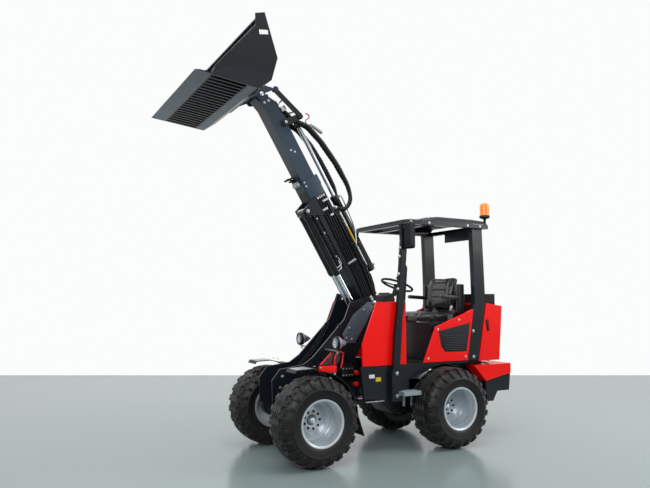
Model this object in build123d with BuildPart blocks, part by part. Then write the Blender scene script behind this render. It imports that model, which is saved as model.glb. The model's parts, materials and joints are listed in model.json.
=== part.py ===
from build123d import *
import os
from math import cos, radians, sin

# Compact articulated wheel loader with a telescopic boom, raised, and a slotted bucket.
# Millimetres. +X is forward, +Y is the machine's left, +Z is up, and the wheels stand on Z = 0.
# The origin is on the floor, midway between the tail and the bucket's lip as it stands.

# ---- wheels and axles
wheelbase = 1514.0
rear_axle_x = -900.0
front_axle_x = rear_axle_x + wheelbase
tyre_radius = 388.0
tyre_width = 365.0
tread_depth = 12.0
rib_width = 42.0
rib_offset = 34.0
block_count = 20
block_inner = 82.0
block_outer = 164.0
block_draft = 9.0
shoulder_radius = tyre_radius - 28.0
block_length = 58.0
block_height = 44.0
block_ring_radius = tyre_radius - 3.0 - block_height / 2
block_stagger = 4.5
wheel_track = 1020.0
wheel_half = wheel_track / 2
bead_radius = 190.5
flange_height = 17.5
flange_radius = bead_radius + flange_height
rim_half = 170.0
rim_wall = 9.0
flange_thickness = 8.0
disc_setback = 215.0
disc_thickness = 12.0
hub_bore = 45.0
bolt_circle = 76.0
bolt_count = 9
bolt_hole = 9.0
bead_gap = 0.5
hub_gap = 3.0
hub_radius = 95.0
hub_length = 60.0
axle_tube_radius = 62.0
axle_height = tyre_radius
axle_end_y = wheel_half + rim_half - disc_setback - disc_thickness - hub_gap

# ---- heights: the deck is the level of the platform, just above the tyres
deck_gap = 42.0
deck_z = axle_height + tyre_radius + deck_gap

# ---- articulation
articulation_x = rear_axle_x + wheelbase / 2
articulation_pin_radius = 24.0
running_gap = 0.3
piece_gap = 3.0

# ---- widths of the body
body_half = 440.0
chassis_half = 290.0
chassis_nose_half = 205.0
chassis_tip_half = 130.0
panel_thickness = 25.0
sill_thickness = 32.0
tower_half = 158.0
tower_plate = 16.0

# ---- steering cylinder, from the rear frame's left side to a bracket on the front frame
steer_z = axle_height + 112.0
steer_rear_x = articulation_x - 517.0
steer_rear_y = 260.0
steer_front_x = articulation_x + 173.0
steer_front_y = 240.0
steer_barrel_radius = 30.0
steer_rod_radius = 15.0
steer_barrel_length = 400.0
steer_eye_radius = 26.0
steer_eye_half = 28.0
steer_pin_radius = 14.0

# ---- boom: s runs along the boom from its pivot, t square to it and upward
boom_pivot_x = articulation_x - 97.0
boom_pivot_z = deck_z + 592.0
boom_angle = 59.0
boom_cos = cos(radians(boom_angle))
boom_sin = sin(radians(boom_angle))
inner_width = 156.0
inner_height = 155.0
inner_axis_t = 25.0
inner_wall = 12.0
slide_gap = 5.0
outer_wall = 12.0
outer_half = inner_width / 2 + slide_gap + outer_wall
outer_height = inner_height + 2 * slide_gap + 2 * outer_wall
outer_front_s = 1400.0
outer_rear_s = 40.0
inner_rear_s = 900.0
inner_front_s = 2200.0
head_pin_s = 2310.0
head_pin_t = -45.0
pivot_pin_radius = 25.0

boom_plane = Plane(
    origin=(boom_pivot_x, 0, boom_pivot_z),
    x_dir=(boom_cos, 0, boom_sin),
    z_dir=(0, -1, 0),
)


def boom_at(s, t, y=0.0):
    """Place a point given along and square to the boom."""
    return (
        boom_pivot_x + s * boom_cos - t * boom_sin,
        y,
        boom_pivot_z + s * boom_sin + t * boom_cos,
    )


def along_boom(s, t, y=0.0):
    """A plane square to the boom, for round bars that run along it."""
    return Plane(origin=boom_at(s, t, y), x_dir=(0, 1, 0), z_dir=(boom_cos, 0, boom_sin))


# ---- lift cylinders, side by side under the boom
lift_t = -155.0
lift_side = 50.0
lift_barrel_radius = 43.0
lift_rod_radius = 25.0
lift_base_s = -230.0
lift_top_s = 1130.0
lift_barrel_lower_s = 420.0
lift_eye_radius = 42.0
lift_eye_half = 22.0
lift_pin_radius = 20.0

# ---- tilt cylinder on top of the boom, with its lever and link
tilt_t = 238.0
tilt_barrel_radius = 45.0
tilt_rod_radius = 22.0
tilt_barrel_rear_s = 250.0
tilt_barrel_front_s = 1120.0
crank_back = 12.0
crank_up = 168.0
lever_pivot_s = head_pin_s - 330.0
lever_pivot_t = head_pin_t + 121.0
tilt_eye_s = lever_pivot_s - crank_back
tilt_eye_t = lever_pivot_t + crank_up
link_pin_s = head_pin_s - crank_back
link_pin_t = head_pin_t + crank_up
link_pin_radius = 16.0
lever_thickness = 12.0
lever_inner_y = outer_half + 5.0
link_inner_y = lever_inner_y + lever_thickness + 2.0
link_thickness = 10.0

# ---- bucket, with u forward along its floor and w square to it, from the heel
bucket_width = 1500.0
bucket_pitch = 6.4
heel_s = 2308.0
heel_t = -367.0
bucket_floor_length = 544.0
bucket_plate = 10.0
bucket_side_plate = 14.0

bucket_plane = Plane(
    origin=boom_at(heel_s, heel_t),
    x_dir=(cos(radians(bucket_pitch)), 0, sin(radians(bucket_pitch))),
    z_dir=(0, -1, 0),
)


def bucket_uw(point):
    """Turn a point given along the machine into the bucket's own u and w."""
    local = bucket_plane.to_local_coords(Vector(*point))
    return (local.X, local.Y)


os.makedirs("parts", exist_ok=True)

# ================= wheels =================
# one tyre and one rim, with the axle along Y and the outer side towards +Y
tyre_half = tyre_width / 2
bead_face = rim_half - flange_thickness - bead_gap
wheel_line = Axis((0, 0, 0), (0, 1, 0))
rib_radius = tyre_radius - 1
groove_radius = tyre_radius - tread_depth
with BuildPart() as tyre_form:
    with BuildSketch(Plane.XY):
        with BuildLine():
            # radius and side offset of half the tyre, from the bead to the two ribs in the middle
            half_profile = [
                (bead_radius + bead_gap, bead_face),
                (flange_radius + 6, bead_face),
                (flange_radius + 26, tyre_half - 6),
                (tyre_radius - 92, tyre_half),
                (tyre_radius - 50, tyre_half - 6),
                (shoulder_radius - 10, block_outer),
                (shoulder_radius, block_inner),
                (rib_radius, rib_offset + rib_width / 2),
                (rib_radius, rib_offset - rib_width / 2),
                (groove_radius, rib_offset - rib_width / 2 - 4),
            ]
            Polyline(
                *[(radius, -offset) for radius, offset in half_profile],
                *reversed(half_profile),
                close=True,
            )
        make_face()
    revolve(axis=wheel_line)
    # a ring of blocks on each shoulder, drafted towards the sidewall
    for edge in (-1, 1):
        block_plane = Plane(origin=(0, edge * block_inner, 0), x_dir=(1, 0, 0), z_dir=(0, edge, 0))
        with BuildSketch(block_plane):
            Circle(shoulder_radius - 0.5)
            Circle(shoulder_radius - 60, mode=Mode.SUBTRACT)
            with PolarLocations(block_ring_radius, block_count, start_angle=block_stagger * edge):
                Rectangle(block_height, block_length)
        extrude(amount=block_outer - block_inner, taper=block_draft)

# the deep dish faces outward, and its disc stands near the inner flange
disc_centre = rim_half - disc_setback - disc_thickness / 2
barrel_inner = bead_radius - rim_wall
with BuildPart() as rim_form:
    with BuildSketch(Plane.XY):
        with Locations((bead_radius - rim_wall / 2, 0)):
            Rectangle(rim_wall, 2 * rim_half)
        for edge in (-1, 1):
            with Locations(((barrel_inner + flange_radius) / 2, edge * (rim_half - flange_thickness / 2))):
                Rectangle(flange_radius - barrel_inner, flange_thickness)
        with Locations(((hub_bore + bead_radius - 2) / 2, disc_centre)):
            Rectangle(bead_radius - 2 - hub_bore, disc_thickness)
        # a step in the barrel where its well narrows towards the disc
        with Locations((barrel_inner - 6, rim_half - 95)):
            Rectangle(14, 26)
    revolve(axis=wheel_line)
    with BuildSketch(Plane.XZ.offset(-disc_centre - disc_thickness)):
        with PolarLocations(bolt_circle, bolt_count):
            Circle(bolt_hole)
    extrude(amount=2 * disc_thickness, mode=Mode.SUBTRACT)

# name, axle x, side (+1 left)
wheels = [
    ("rear_left", rear_axle_x, 1),
    ("rear_right", rear_axle_x, -1),
    ("front_left", front_axle_x, 1),
    ("front_right", front_axle_x, -1),
]
for wheel_name, axle_x, side in wheels:
    wheel_place = Location((axle_x, side * wheel_half, axle_height), (0, 0, 90 - 90 * side))
    with BuildPart() as tyre:
        with Locations(wheel_place):
            add(tyre_form.part)
    tyre.part.label = "tyre_" + wheel_name
    export_step(tyre.part, "parts/tyre_" + wheel_name + ".step")

    with BuildPart() as rim:
        with Locations(wheel_place):
            add(rim_form.part)
    rim.part.label = "rim_" + wheel_name
    export_step(rim.part, "parts/rim_" + wheel_name + ".step")

# ================= rear frame =================
chassis_top_z = deck_z - 178.0
chassis_bottom_z = axle_height - 88.0
chassis_front_x = articulation_x - 187.0
chassis_rear_x = rear_axle_x - 740.0
chassis_step_x = steer_rear_x - 50.0
lug_half_height = 17.0
lower_lug_z = chassis_bottom_z + 130.0
upper_lug_z = chassis_top_z - lug_half_height - piece_gap
lug_radius = 80.0
with BuildPart() as rear_chassis:
    with BuildSketch(Plane.XZ):
        with BuildLine():
            Polyline(
                (chassis_rear_x, axle_height + 12),
                (chassis_rear_x, chassis_top_z),
                (chassis_step_x, chassis_top_z),
                (chassis_step_x, chassis_bottom_z),
                (rear_axle_x - 560, chassis_bottom_z),
                close=True,
            )
        make_face()
    extrude(amount=chassis_half, both=True)
    with BuildSketch(Plane.XZ):
        with BuildLine():
            Polyline(
                (chassis_step_x - 1, chassis_top_z),
                (chassis_front_x, chassis_top_z),
                (chassis_front_x, axle_height + 30),
                (chassis_front_x - 130, chassis_bottom_z),
                (chassis_step_x - 1, chassis_bottom_z),
                close=True,
            )
        make_face()
    extrude(amount=chassis_nose_half, both=True)
    # the nose narrows to leave the steering cylinder its swing
    with BuildSketch(Plane.XY.offset(chassis_bottom_z - 10)):
        for side in (-1, 1):
            with BuildLine():
                Polyline(
                    (chassis_step_x, side * chassis_nose_half),
                    (chassis_front_x + 1, side * chassis_tip_half),
                    (chassis_front_x + 1, side * (chassis_nose_half + 1)),
                    (chassis_step_x, side * (chassis_nose_half + 1)),
                    close=True,
                )
            make_face()
    extrude(amount=chassis_top_z - chassis_bottom_z + 20, mode=Mode.SUBTRACT)
    # plates and pin for the steering cylinder's foot
    for plate_z in (steer_z - steer_eye_half - 16, steer_z + steer_eye_half + 16):
        with BuildSketch(Plane.XY.offset(plate_z - 12)):
            with Locations((steer_rear_x, steer_rear_y)):
                Circle(34)
            with Locations((steer_rear_x - 50, steer_rear_y - 10)):
                Rectangle(100, 48)
            with Locations((steer_rear_x, steer_rear_y - 30)):
                Rectangle(60, 60)
        extrude(amount=24)
    with Locations((steer_rear_x, steer_rear_y, steer_z)):
        Cylinder(steer_pin_radius, 2 * steer_eye_half + 60)
    with Locations((rear_axle_x, 0, axle_height)):
        Cylinder(axle_tube_radius, 2 * axle_end_y, rotation=(90, 0, 0))
    for side in (-1, 1):
        with Locations((rear_axle_x, side * (axle_end_y - hub_length / 2), axle_height)):
            Cylinder(hub_radius, hub_length, rotation=(90, 0, 0))
    # the lugs that hold the front frame's eyes, and the pin through them
    for lug_z in (lower_lug_z, upper_lug_z):
        with Locations(((chassis_front_x + articulation_x) / 2, 0, lug_z)):
            Box(articulation_x - chassis_front_x, 2 * lug_radius, 2 * lug_half_height)
        with Locations((articulation_x, 0, lug_z)):
            Cylinder(lug_radius, 2 * lug_half_height)
    with Locations((articulation_x, 0, (lower_lug_z + upper_lug_z) / 2)):
        Cylinder(articulation_pin_radius, upper_lug_z - lower_lug_z + 70)
rear_chassis.part.label = "rear_chassis"
export_step(rear_chassis.part, "parts/rear_chassis.step")

# ---- operator's platform: sills and floor
floor_thickness = 18.0
sill_front_x = articulation_x + 190.0
post_foot_front_x = articulation_x - 92.0
post_foot_rear_x = post_foot_front_x - 110.0
front_post_width = 44.0
post_outer_y = body_half + 1.0 + front_post_width
floor_front_x = articulation_x - 275.0
platform_rear_x = rear_axle_x - 330.0
arch_clear = 46.0
arch_wall = 6.0
arch_radius = tyre_radius + 21.0
with BuildPart() as platform:
    for side in (-1, 1):
        with BuildSketch(Plane.XZ.offset(-side * (body_half - 10 - sill_thickness / 2))):
            with BuildLine():
                Polyline(
                    (sill_front_x, deck_z - 300),
                    (sill_front_x + 34, deck_z - 20),
                    (sill_front_x + 20, deck_z - piece_gap),
                    (platform_rear_x, deck_z - piece_gap),
                    (platform_rear_x, deck_z - piece_gap - floor_thickness),
                    (rear_axle_x + 20, deck_z - piece_gap - floor_thickness),
                    (rear_axle_x + tyre_radius + arch_clear, deck_z - 150),
                    (rear_axle_x + tyre_radius + arch_clear, deck_z - 320),
                    (chassis_front_x, deck_z - 340),
                    close=True,
                )
            make_face()
            with Locations((rear_axle_x, axle_height)):
                Circle(arch_radius - arch_wall / 2, mode=Mode.SUBTRACT)
        extrude(amount=sill_thickness / 2, both=True)
    with Locations(((floor_front_x + platform_rear_x) / 2, 0, deck_z - piece_gap - floor_thickness / 2)):
        Box(floor_front_x - platform_rear_x, 2 * (body_half - 12), floor_thickness)
    with Locations((floor_front_x - 60, 0, (chassis_top_z + deck_z - piece_gap) / 2)):
        Box(80, 2 * chassis_nose_half - 40, deck_z - piece_gap - chassis_top_z)
    # wheel arch liners under the body's sides
    for side in (-1, 1):
        with BuildSketch(Plane.XZ.offset(-side * (chassis_half + piece_gap + body_half - 12) / 2)):
            with BuildLine():
                CenterArc((rear_axle_x, axle_height), arch_radius, 86, 66)
            trace(line_width=arch_wall)
        extrude(amount=(body_half - 12 - chassis_half - piece_gap) / 2, both=True)
platform.part.label = "platform"
export_step(platform.part, "parts/platform.step")

# ---- tail weight, with a notch for the towing clevis
tail_length = 906.0
tail_rear_x = rear_axle_x - tail_length
tail_top_z = deck_z - 55.0
tail_split_z = deck_z - 158.0
tail_low_z = axle_height + 92.0
notch_half = 70.0
notch_front_x = tail_rear_x + 130.0
notch_height = 484.0
hitch_plate = 20.0
hitch_bore_radius = 12.5
hitch_x = tail_rear_x + 62.0
hitch_z = tail_low_z + 62.0
hitch_gap = 44.0
with BuildPart() as tail_weight:
    with BuildSketch(Plane.XZ):
        with BuildLine():
            Polyline(
                (tail_rear_x + 2, tail_split_z - 5),
                (tail_rear_x + 24, tail_low_z),
                (rear_axle_x - 716, tail_low_z),
                (rear_axle_x - 656, axle_height - 6),
                (rear_axle_x - 572, axle_height - 6),
                (rear_axle_x - 551, tail_split_z - 70),
                close=True,
            )
        make_face()
    extrude(amount=body_half - 10, both=True)
    with Locations(((chassis_rear_x - piece_gap + rear_axle_x) / 2, 0, axle_height + 150)):
        Box(rear_axle_x - chassis_rear_x + piece_gap, 2 * (chassis_half + piece_gap), 600, mode=Mode.SUBTRACT)
    with Locations(((tail_rear_x - 40 + notch_front_x) / 2, 0, hitch_z)):
        Box(notch_front_x - tail_rear_x + 40, 2 * notch_half, notch_height, mode=Mode.SUBTRACT)
    for level in (-1, 1):
        hitch_plate_z = hitch_z + level * (hitch_gap + hitch_plate) / 2
        with Locations(((tail_rear_x + 4 + notch_front_x + 2) / 2, 0, hitch_plate_z)):
            Box(notch_front_x - tail_rear_x - 2, 2 * notch_half + 2, hitch_plate)
    with Locations((hitch_x, 0, hitch_z)):
        Cylinder(hitch_bore_radius, 3 * hitch_plate + hitch_gap, mode=Mode.SUBTRACT)
tail_weight.part.label = "tail_weight"
export_step(tail_weight.part, "parts/tail_weight.step")

# ---- red bodywork: tail cover and side panels
side_panel_front_x = rear_axle_x + 252.0
panel_inset = 6.0
with BuildPart() as bodywork:
    with BuildSketch(Plane.XZ):
        with BuildLine():
            Polyline(
                (tail_rear_x + 3, tail_split_z),
                (tail_rear_x, tail_top_z),
                (rear_axle_x - 392, tail_top_z),
                (rear_axle_x - 551, deck_z - 223),
                close=True,
            )
        make_face()
    extrude(amount=body_half, both=True)
    with Locations(((chassis_rear_x - piece_gap + rear_axle_x) / 2, 0, axle_height + 150)):
        Box(rear_axle_x - chassis_rear_x + piece_gap, 2 * (chassis_half + piece_gap), 600, mode=Mode.SUBTRACT)
    for side in (-1, 1):
        with BuildSketch(Plane.XZ.offset(-side * (body_half - panel_thickness / 2))):
            with BuildLine():
                Polyline(
                    (rear_axle_x + 96, deck_z + 351),
                    (rear_axle_x - 400, deck_z + 525),
                    (rear_axle_x - 314, deck_z + 44),
                    (rear_axle_x - 314, deck_z + 2),
                    (side_panel_front_x, deck_z + 2),
                    close=True,
                )
            make_face()
        extrude(amount=panel_thickness / 2, both=True)
        # shallow inset in the outer face
        with BuildSketch(Plane.XZ.offset(-side * body_half)):
            with BuildLine():
                Polyline(
                    (rear_axle_x + 66, deck_z + 308),
                    (rear_axle_x - 352, deck_z + 386),
                    (rear_axle_x - 300, deck_z + 90),
                    (rear_axle_x - 12, deck_z + 96),
                    (rear_axle_x + 38, deck_z + 158),
                    close=True,
                )
            make_face()
        extrude(amount=panel_inset, both=True, mode=Mode.SUBTRACT)
bodywork.part.label = "bodywork"
export_step(bodywork.part, "parts/bodywork.step")

# ---- engine, one plain block under the hood
engine_front_x = rear_axle_x - 350.0
engine_rear_x = rear_axle_x - 700.0
with BuildPart() as engine_block:
    with Locations(((engine_front_x + engine_rear_x) / 2, 0, (chassis_top_z + deck_z + 380) / 2 + piece_gap)):
        Box(engine_front_x - engine_rear_x, 420, deck_z + 380 - chassis_top_z)
engine_block.part.label = "engine_block"
export_step(engine_block.part, "parts/engine_block.step")

# ---- engine hood, hinged at its rear lower edge
hood_hinge_x = tail_rear_x + 158.0
hood_hinge_z = deck_z - 30.0
hood_wall = 20.0
latch_x = rear_axle_x - 589.0
latch_z = deck_z + 352.0
latch_depth = 8.0
with BuildPart() as hood:
    with BuildSketch(Plane.XZ):
        with BuildLine():
            Polyline(
                (rear_axle_x - 461, deck_z - 12),
                (rear_axle_x - 576, deck_z + 588),
                (rear_axle_x - 796, deck_z + 555),
                (rear_axle_x - 744, deck_z - 12),
                close=True,
            )
        make_face()
    extrude(amount=body_half, both=True)
    with BuildSketch(Plane.XZ):
        with BuildLine():
            Polyline(
                (rear_axle_x - 400, deck_z - 20),
                (rear_axle_x - 400, deck_z + 595),
                (rear_axle_x - 560, deck_z + 569),
                (rear_axle_x - 774, deck_z + 537),
                (rear_axle_x - 724, deck_z - 12),
                (rear_axle_x - 724, deck_z - 20),
                close=True,
            )
        make_face()
    extrude(amount=body_half - hood_wall, both=True, mode=Mode.SUBTRACT)
    # a latch recess in each side
    for side in (-1, 1):
        with BuildSketch(Plane.XZ.offset(-side * body_half)):
            with Locations((latch_x, latch_z)):
                Rectangle(42, 137, rotation=-7)
        extrude(amount=latch_depth, both=True, mode=Mode.SUBTRACT)
    for side in (-1, 1):
        with Locations((hood_hinge_x, side * 250, hood_hinge_z)):
            Cylinder(9, 60, rotation=(90, 0, 0))
        with Locations((hood_hinge_x - 2, side * 250, hood_hinge_z + 22)):
            Box(12, 60, 30)
hood.part.label = "hood"
export_step(hood.part, "parts/hood.step")

with BuildPart() as intake_box:
    with BuildSketch(Plane.XZ.offset(-120)):
        with BuildLine():
            Polyline(
                (rear_axle_x - 640, deck_z + 582),
                (rear_axle_x - 640, deck_z + 685),
                (rear_axle_x - 775, deck_z + 685),
                (rear_axle_x - 775, deck_z + 562),
                close=True,
            )
        make_face()
    extrude(amount=240, both=True)
intake_box.part.label = "intake_box"
export_step(intake_box.part, "parts/intake_box.step")

# ---- front console: a rear wall and two cheeks that leave the front frame its swing
console_wall = 22.0
console_half = body_half - 10.0
console_top_z = deck_z + 602.0
console_back_x = articulation_x - 297.0
console_front_x = articulation_x + 203.0
with BuildPart() as console:
    with BuildSketch(Plane.XY.offset(deck_z)):
        with BuildLine():
            Polyline(
                (console_back_x, -console_half),
                (console_front_x, -console_half),
                (console_front_x, -console_half + console_wall),
                (console_back_x + console_wall, -console_half + console_wall),
                (console_back_x + console_wall, console_half - console_wall),
                (console_front_x, console_half - console_wall),
                (console_front_x, console_half),
                (console_back_x, console_half),
                close=True,
            )
        make_face()
    extrude(amount=console_top_z - deck_z)
    with BuildSketch(Plane.XZ):
        with BuildLine():
            Polyline(
                (articulation_x + 41, console_top_z + 1),
                (articulation_x + 288, deck_z - 1),
                (articulation_x + 600, deck_z - 1),
                (articulation_x + 600, console_top_z + 1),
                close=True,
            )
        make_face()
    extrude(amount=600, both=True, mode=Mode.SUBTRACT)
console.part.label = "console"
export_step(console.part, "parts/console.step")

# ---- steering column and dash
steering_tilt = 22.0
steering_centre = (articulation_x - 497.0, 0.0, deck_z + 777.0)
steering_plane = Plane(
    origin=steering_centre,
    x_dir=(cos(radians(steering_tilt)), 0, sin(radians(steering_tilt))),
    z_dir=(-sin(radians(steering_tilt)), 0, cos(radians(steering_tilt))),
)
column_radius = 24.0
with BuildPart() as steering_column:
    with BuildSketch(Plane.XZ):
        with BuildLine():
            Polyline(
                (console_back_x - 1, console_top_z - 140),
                (console_back_x - 1, console_top_z + 2),
                (console_back_x + 25, console_top_z + 2),
                (console_back_x + 15, console_top_z + 58),
                (console_back_x - 66, console_top_z + 88),
                (console_back_x - 90, console_top_z + 20),
                (console_back_x - 40, console_top_z - 140),
                close=True,
            )
        make_face()
    extrude(amount=120, both=True)
    with BuildSketch(steering_plane.offset(-120)):
        Circle(column_radius)
    extrude(amount=98)
steering_column.part.label = "steering_column"
export_step(steering_column.part, "parts/steering_column.step")

steering_wheel_radius = 168.0
steering_rim_radius = 12.0
with BuildPart() as steering_wheel:
    with BuildSketch(Plane(origin=steering_centre, x_dir=steering_plane.x_dir, z_dir=(0, -1, 0))):
        with Locations((steering_wheel_radius, 0)):
            RegularPolygon(steering_rim_radius, 8)
    revolve(axis=Axis(steering_centre, steering_plane.z_dir))
    with BuildSketch(steering_plane.offset(-18)):
        Circle(38)
        for spoke_angle in (90, 210, 330):
            with Locations(
                (
                    steering_wheel_radius / 2 * cos(radians(spoke_angle)),
                    steering_wheel_radius / 2 * sin(radians(spoke_angle)),
                )
            ):
                Rectangle(steering_wheel_radius, 26, rotation=spoke_angle)
    extrude(amount=16)
steering_wheel.part.label = "steering_wheel"
export_step(steering_wheel.part, "parts/steering_wheel.step")

# ---- seat
seat_box_front_x = rear_axle_x + 110.0
seat_box_rear_x = rear_axle_x - 300.0
seat_box_top_z = deck_z + 385.0
seat_box_half = body_half - 70.0
cushion_height = 108.0
seat_half = seat_box_half - 135.0
armrest_y = seat_half + 50.0
with BuildPart() as seat_frame:
    with Locations(((seat_box_front_x + seat_box_rear_x) / 2, 0, (deck_z + seat_box_top_z) / 2)):
        Box(seat_box_front_x - seat_box_rear_x, 2 * seat_box_half, seat_box_top_z - deck_z)
    with BuildSketch(Plane.XZ):
        with BuildLine():
            Polyline(
                (seat_box_rear_x + 1, seat_box_top_z - 60),
                (seat_box_rear_x + 1, seat_box_top_z),
                (rear_axle_x - 348, seat_box_top_z + 90),
                (rear_axle_x - 440, seat_box_top_z + 400),
                (rear_axle_x - 452, seat_box_top_z + 396),
                (rear_axle_x - 366, seat_box_top_z + 40),
                close=True,
            )
        make_face()
    extrude(amount=190, both=True)
    for side in (-1, 1):
        with Locations((rear_axle_x - 372, side * (armrest_y / 2 + 90), seat_box_top_z + 120)):
            Box(24, armrest_y - 150, 24)
        with Locations((rear_axle_x - 352, side * armrest_y, seat_box_top_z + 250)):
            Box(70, 50, 300)
seat_frame.part.label = "seat_frame"
export_step(seat_frame.part, "parts/seat_frame.step")

with BuildPart() as seat_cushion:
    with Locations((rear_axle_x - 70, 0, seat_box_top_z + piece_gap + cushion_height / 2)):
        Box(440, 2 * seat_half, cushion_height)
seat_cushion.part.label = "seat_cushion"
export_step(seat_cushion.part, "parts/seat_cushion.step")

with BuildPart() as seat_backrest:
    with BuildSketch(Plane.XZ):
        with BuildLine():
            Polyline(
                (rear_axle_x - 262, seat_box_top_z + 118),
                (rear_axle_x - 340, seat_box_top_z + 500),
                (rear_axle_x - 430, seat_box_top_z + 505),
                (rear_axle_x - 432, seat_box_top_z + 404),
                (rear_axle_x - 340, seat_box_top_z + 118),
                close=True,
            )
        make_face()
    extrude(amount=seat_half, both=True)
seat_backrest.part.label = "seat_backrest"
export_step(seat_backrest.part, "parts/seat_backrest.step")

# ---- roll-over frame
roof_rail_z = deck_z + 1372.0
post_width = 60.0
with BuildPart() as rops_rear:
    for side in (-1, 1):
        with BuildSketch(Plane.XZ.offset(-side * (body_half - post_width / 2))):
            with BuildLine():
                Polyline(
                    (rear_axle_x - 397, roof_rail_z - 1),
                    (rear_axle_x - 411, deck_z + 1022),
                    (rear_axle_x - 422, deck_z + 620),
                    (rear_axle_x - 318, deck_z + 42),
                    (rear_axle_x - 318, deck_z),
                    (rear_axle_x - 458, deck_z),
                    (rear_axle_x - 458, deck_z + 42),
                    (rear_axle_x - 564, deck_z + 620),
                    (rear_axle_x - 550, deck_z + 1022),
                    (rear_axle_x - 537, roof_rail_z - 1),
                    close=True,
                )
            make_face()
        extrude(amount=post_width / 2, both=True)
rops_rear.part.label = "rops_rear"
export_step(rops_rear.part, "parts/rops_rear.step")

with BuildPart() as rops_front:
    for side in (-1, 1):
        with BuildSketch(Plane.XZ.offset(-side * (body_half + 1 + front_post_width / 2))):
            with BuildLine():
                Polyline(
                    (articulation_x - 212, roof_rail_z - 1),
                    (articulation_x - 221, deck_z + 1210),
                    (articulation_x - 165, deck_z + 524),
                    (articulation_x - 133, deck_z + 282),
                    (articulation_x - 112, deck_z - 20),
                    (post_foot_front_x, deck_z - 60),
                    (post_foot_front_x, deck_z - 338),
                    (post_foot_rear_x, deck_z - 338),
                    (articulation_x - 190, deck_z - 60),
                    (articulation_x - 182, deck_z - 20),
                    (articulation_x - 204, deck_z + 282),
                    (articulation_x - 224, deck_z + 524),
                    (articulation_x - 288, deck_z + 1210),
                    (articulation_x - 297, roof_rail_z - 1),
                    close=True,
                )
            make_face()
        extrude(amount=front_post_width / 2, both=True)
rops_front.part.label = "rops_front"
export_step(rops_front.part, "parts/rops_front.step")

roof_front_x = articulation_x - 289.0
roof_rear_x = rear_axle_x - 585.0
roof_half = body_half + 46.0
roof_rail = 42.0
roof_rail_width = 55.0
roof_skin_gap = 1.0
with BuildPart() as roof_frame:
    with BuildSketch(Plane.XY.offset(roof_rail_z)):
        with Locations(((roof_front_x + roof_rear_x) / 2, 0)):
            Rectangle(roof_front_x - roof_rear_x, 2 * roof_half)
            Rectangle(
                roof_front_x - roof_rear_x - 2 * roof_rail_width,
                2 * (roof_half - roof_rail_width),
                mode=Mode.SUBTRACT,
            )
        with Locations((rear_axle_x + 200, 0)):
            Rectangle(60, 2 * roof_half)
    extrude(amount=roof_rail)
    with Locations((rear_axle_x - 500, 126, roof_rail_z - 50)):
        Box(16, 492, 110)
roof_frame.part.label = "roof_frame"
export_step(roof_frame.part, "parts/roof_frame.step")

roof_skin_z = roof_rail_z + roof_rail + roof_skin_gap
with BuildPart() as roof_panel:
    with BuildSketch(Plane.XZ):
        with BuildLine():
            Polyline(
                (roof_front_x + 5, roof_skin_z),
                (roof_front_x + 5, roof_skin_z + 6),
                (rear_axle_x + 188, roof_skin_z + 40),
                (rear_axle_x + 46, roof_skin_z + 58),
                (rear_axle_x - 410, roof_skin_z + 55),
                (rear_axle_x - 578, roof_skin_z + 42),
                (rear_axle_x - 578, roof_skin_z),
                close=True,
            )
        make_face()
    extrude(amount=roof_half - 6, both=True)
roof_panel.part.label = "roof_panel"
export_step(roof_panel.part, "parts/roof_panel.step")

beacon_x = roof_rear_x - 33.0
beacon_y = roof_half - 86.0
beacon_base_z = roof_rail_z + 8.0
with BuildPart() as beacon:
    with Locations((beacon_x + 16, beacon_y, beacon_base_z + 10)):
        Box(33, 40, 20)
    with BuildSketch(Plane(origin=(beacon_x, beacon_y, 0), x_dir=(1, 0, 0), z_dir=(0, -1, 0))):
        with BuildLine():
            Polyline(
                (0, beacon_base_z),
                (14, beacon_base_z),
                (14, beacon_base_z + 112),
                (48, beacon_base_z + 118),
                (56, beacon_base_z + 128),
                (56, beacon_base_z + 146),
                (52, beacon_base_z + 150),
                (50, beacon_base_z + 255),
                (38, beacon_base_z + 277),
                (0, beacon_base_z + 285),
                close=True,
            )
        make_face()
    revolve(axis=Axis((beacon_x, beacon_y, 0), (0, 0, 1)))
beacon.part.label = "beacon"
export_step(beacon.part, "parts/beacon.step")

mirror_x = articulation_x - 252.0
mirror_gap = 1.0
with BuildPart() as mirror:
    with BuildSketch(Plane.YZ.offset(mirror_x - 23)):
        with Locations((post_outer_y + mirror_gap + 74, deck_z + 1247)):
            RectangleRounded(130, 260, 28)
    extrude(amount=46)
    chamfer(mirror.faces().sort_by(Axis.X)[-1].edges(), length=12)
    with Locations((mirror_x, post_outer_y + mirror_gap + 5, deck_z + 1332)):
        Box(16, 10, 16)
mirror.part.label = "mirror"
export_step(mirror.part, "parts/mirror.step")

# ---- steps beside the front posts
step_rear_x = rear_axle_x + tyre_radius - 13.0
step_front_x = post_foot_front_x - 65.0
step_inner_y = body_half - 9.0
step_outer_y = body_half + 129.0
step_z = deck_z - 263.0
step_thickness = 36.0
step_slot_count = 4
step_slot_pitch = (step_front_x - step_rear_x) / (step_slot_count + 1)
step_slot_y = post_outer_y + 48.0
with BuildPart() as steps:
    for side in (-1, 1):
        with BuildSketch(Plane.XY.offset(step_z - step_thickness / 2)):
            with BuildLine():
                Polyline(
                    (step_rear_x, side * step_inner_y),
                    (post_foot_rear_x - piece_gap, side * step_inner_y),
                    (post_foot_rear_x - piece_gap, side * (post_outer_y + piece_gap)),
                    (step_front_x, side * (post_outer_y + piece_gap)),
                    (step_front_x - 12, side * step_outer_y),
                    (step_rear_x + 12, side * step_outer_y),
                    close=True,
                )
            make_face()
        extrude(amount=step_thickness)
        # tread openings
        with BuildSketch(Plane.XY.offset(step_z)):
            for slot_index in range(step_slot_count):
                with Locations((step_rear_x + (slot_index + 1) * step_slot_pitch, side * step_slot_y)):
                    Rectangle(step_slot_pitch * 0.55, 44)
        extrude(amount=step_thickness, both=True, mode=Mode.SUBTRACT)
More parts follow.
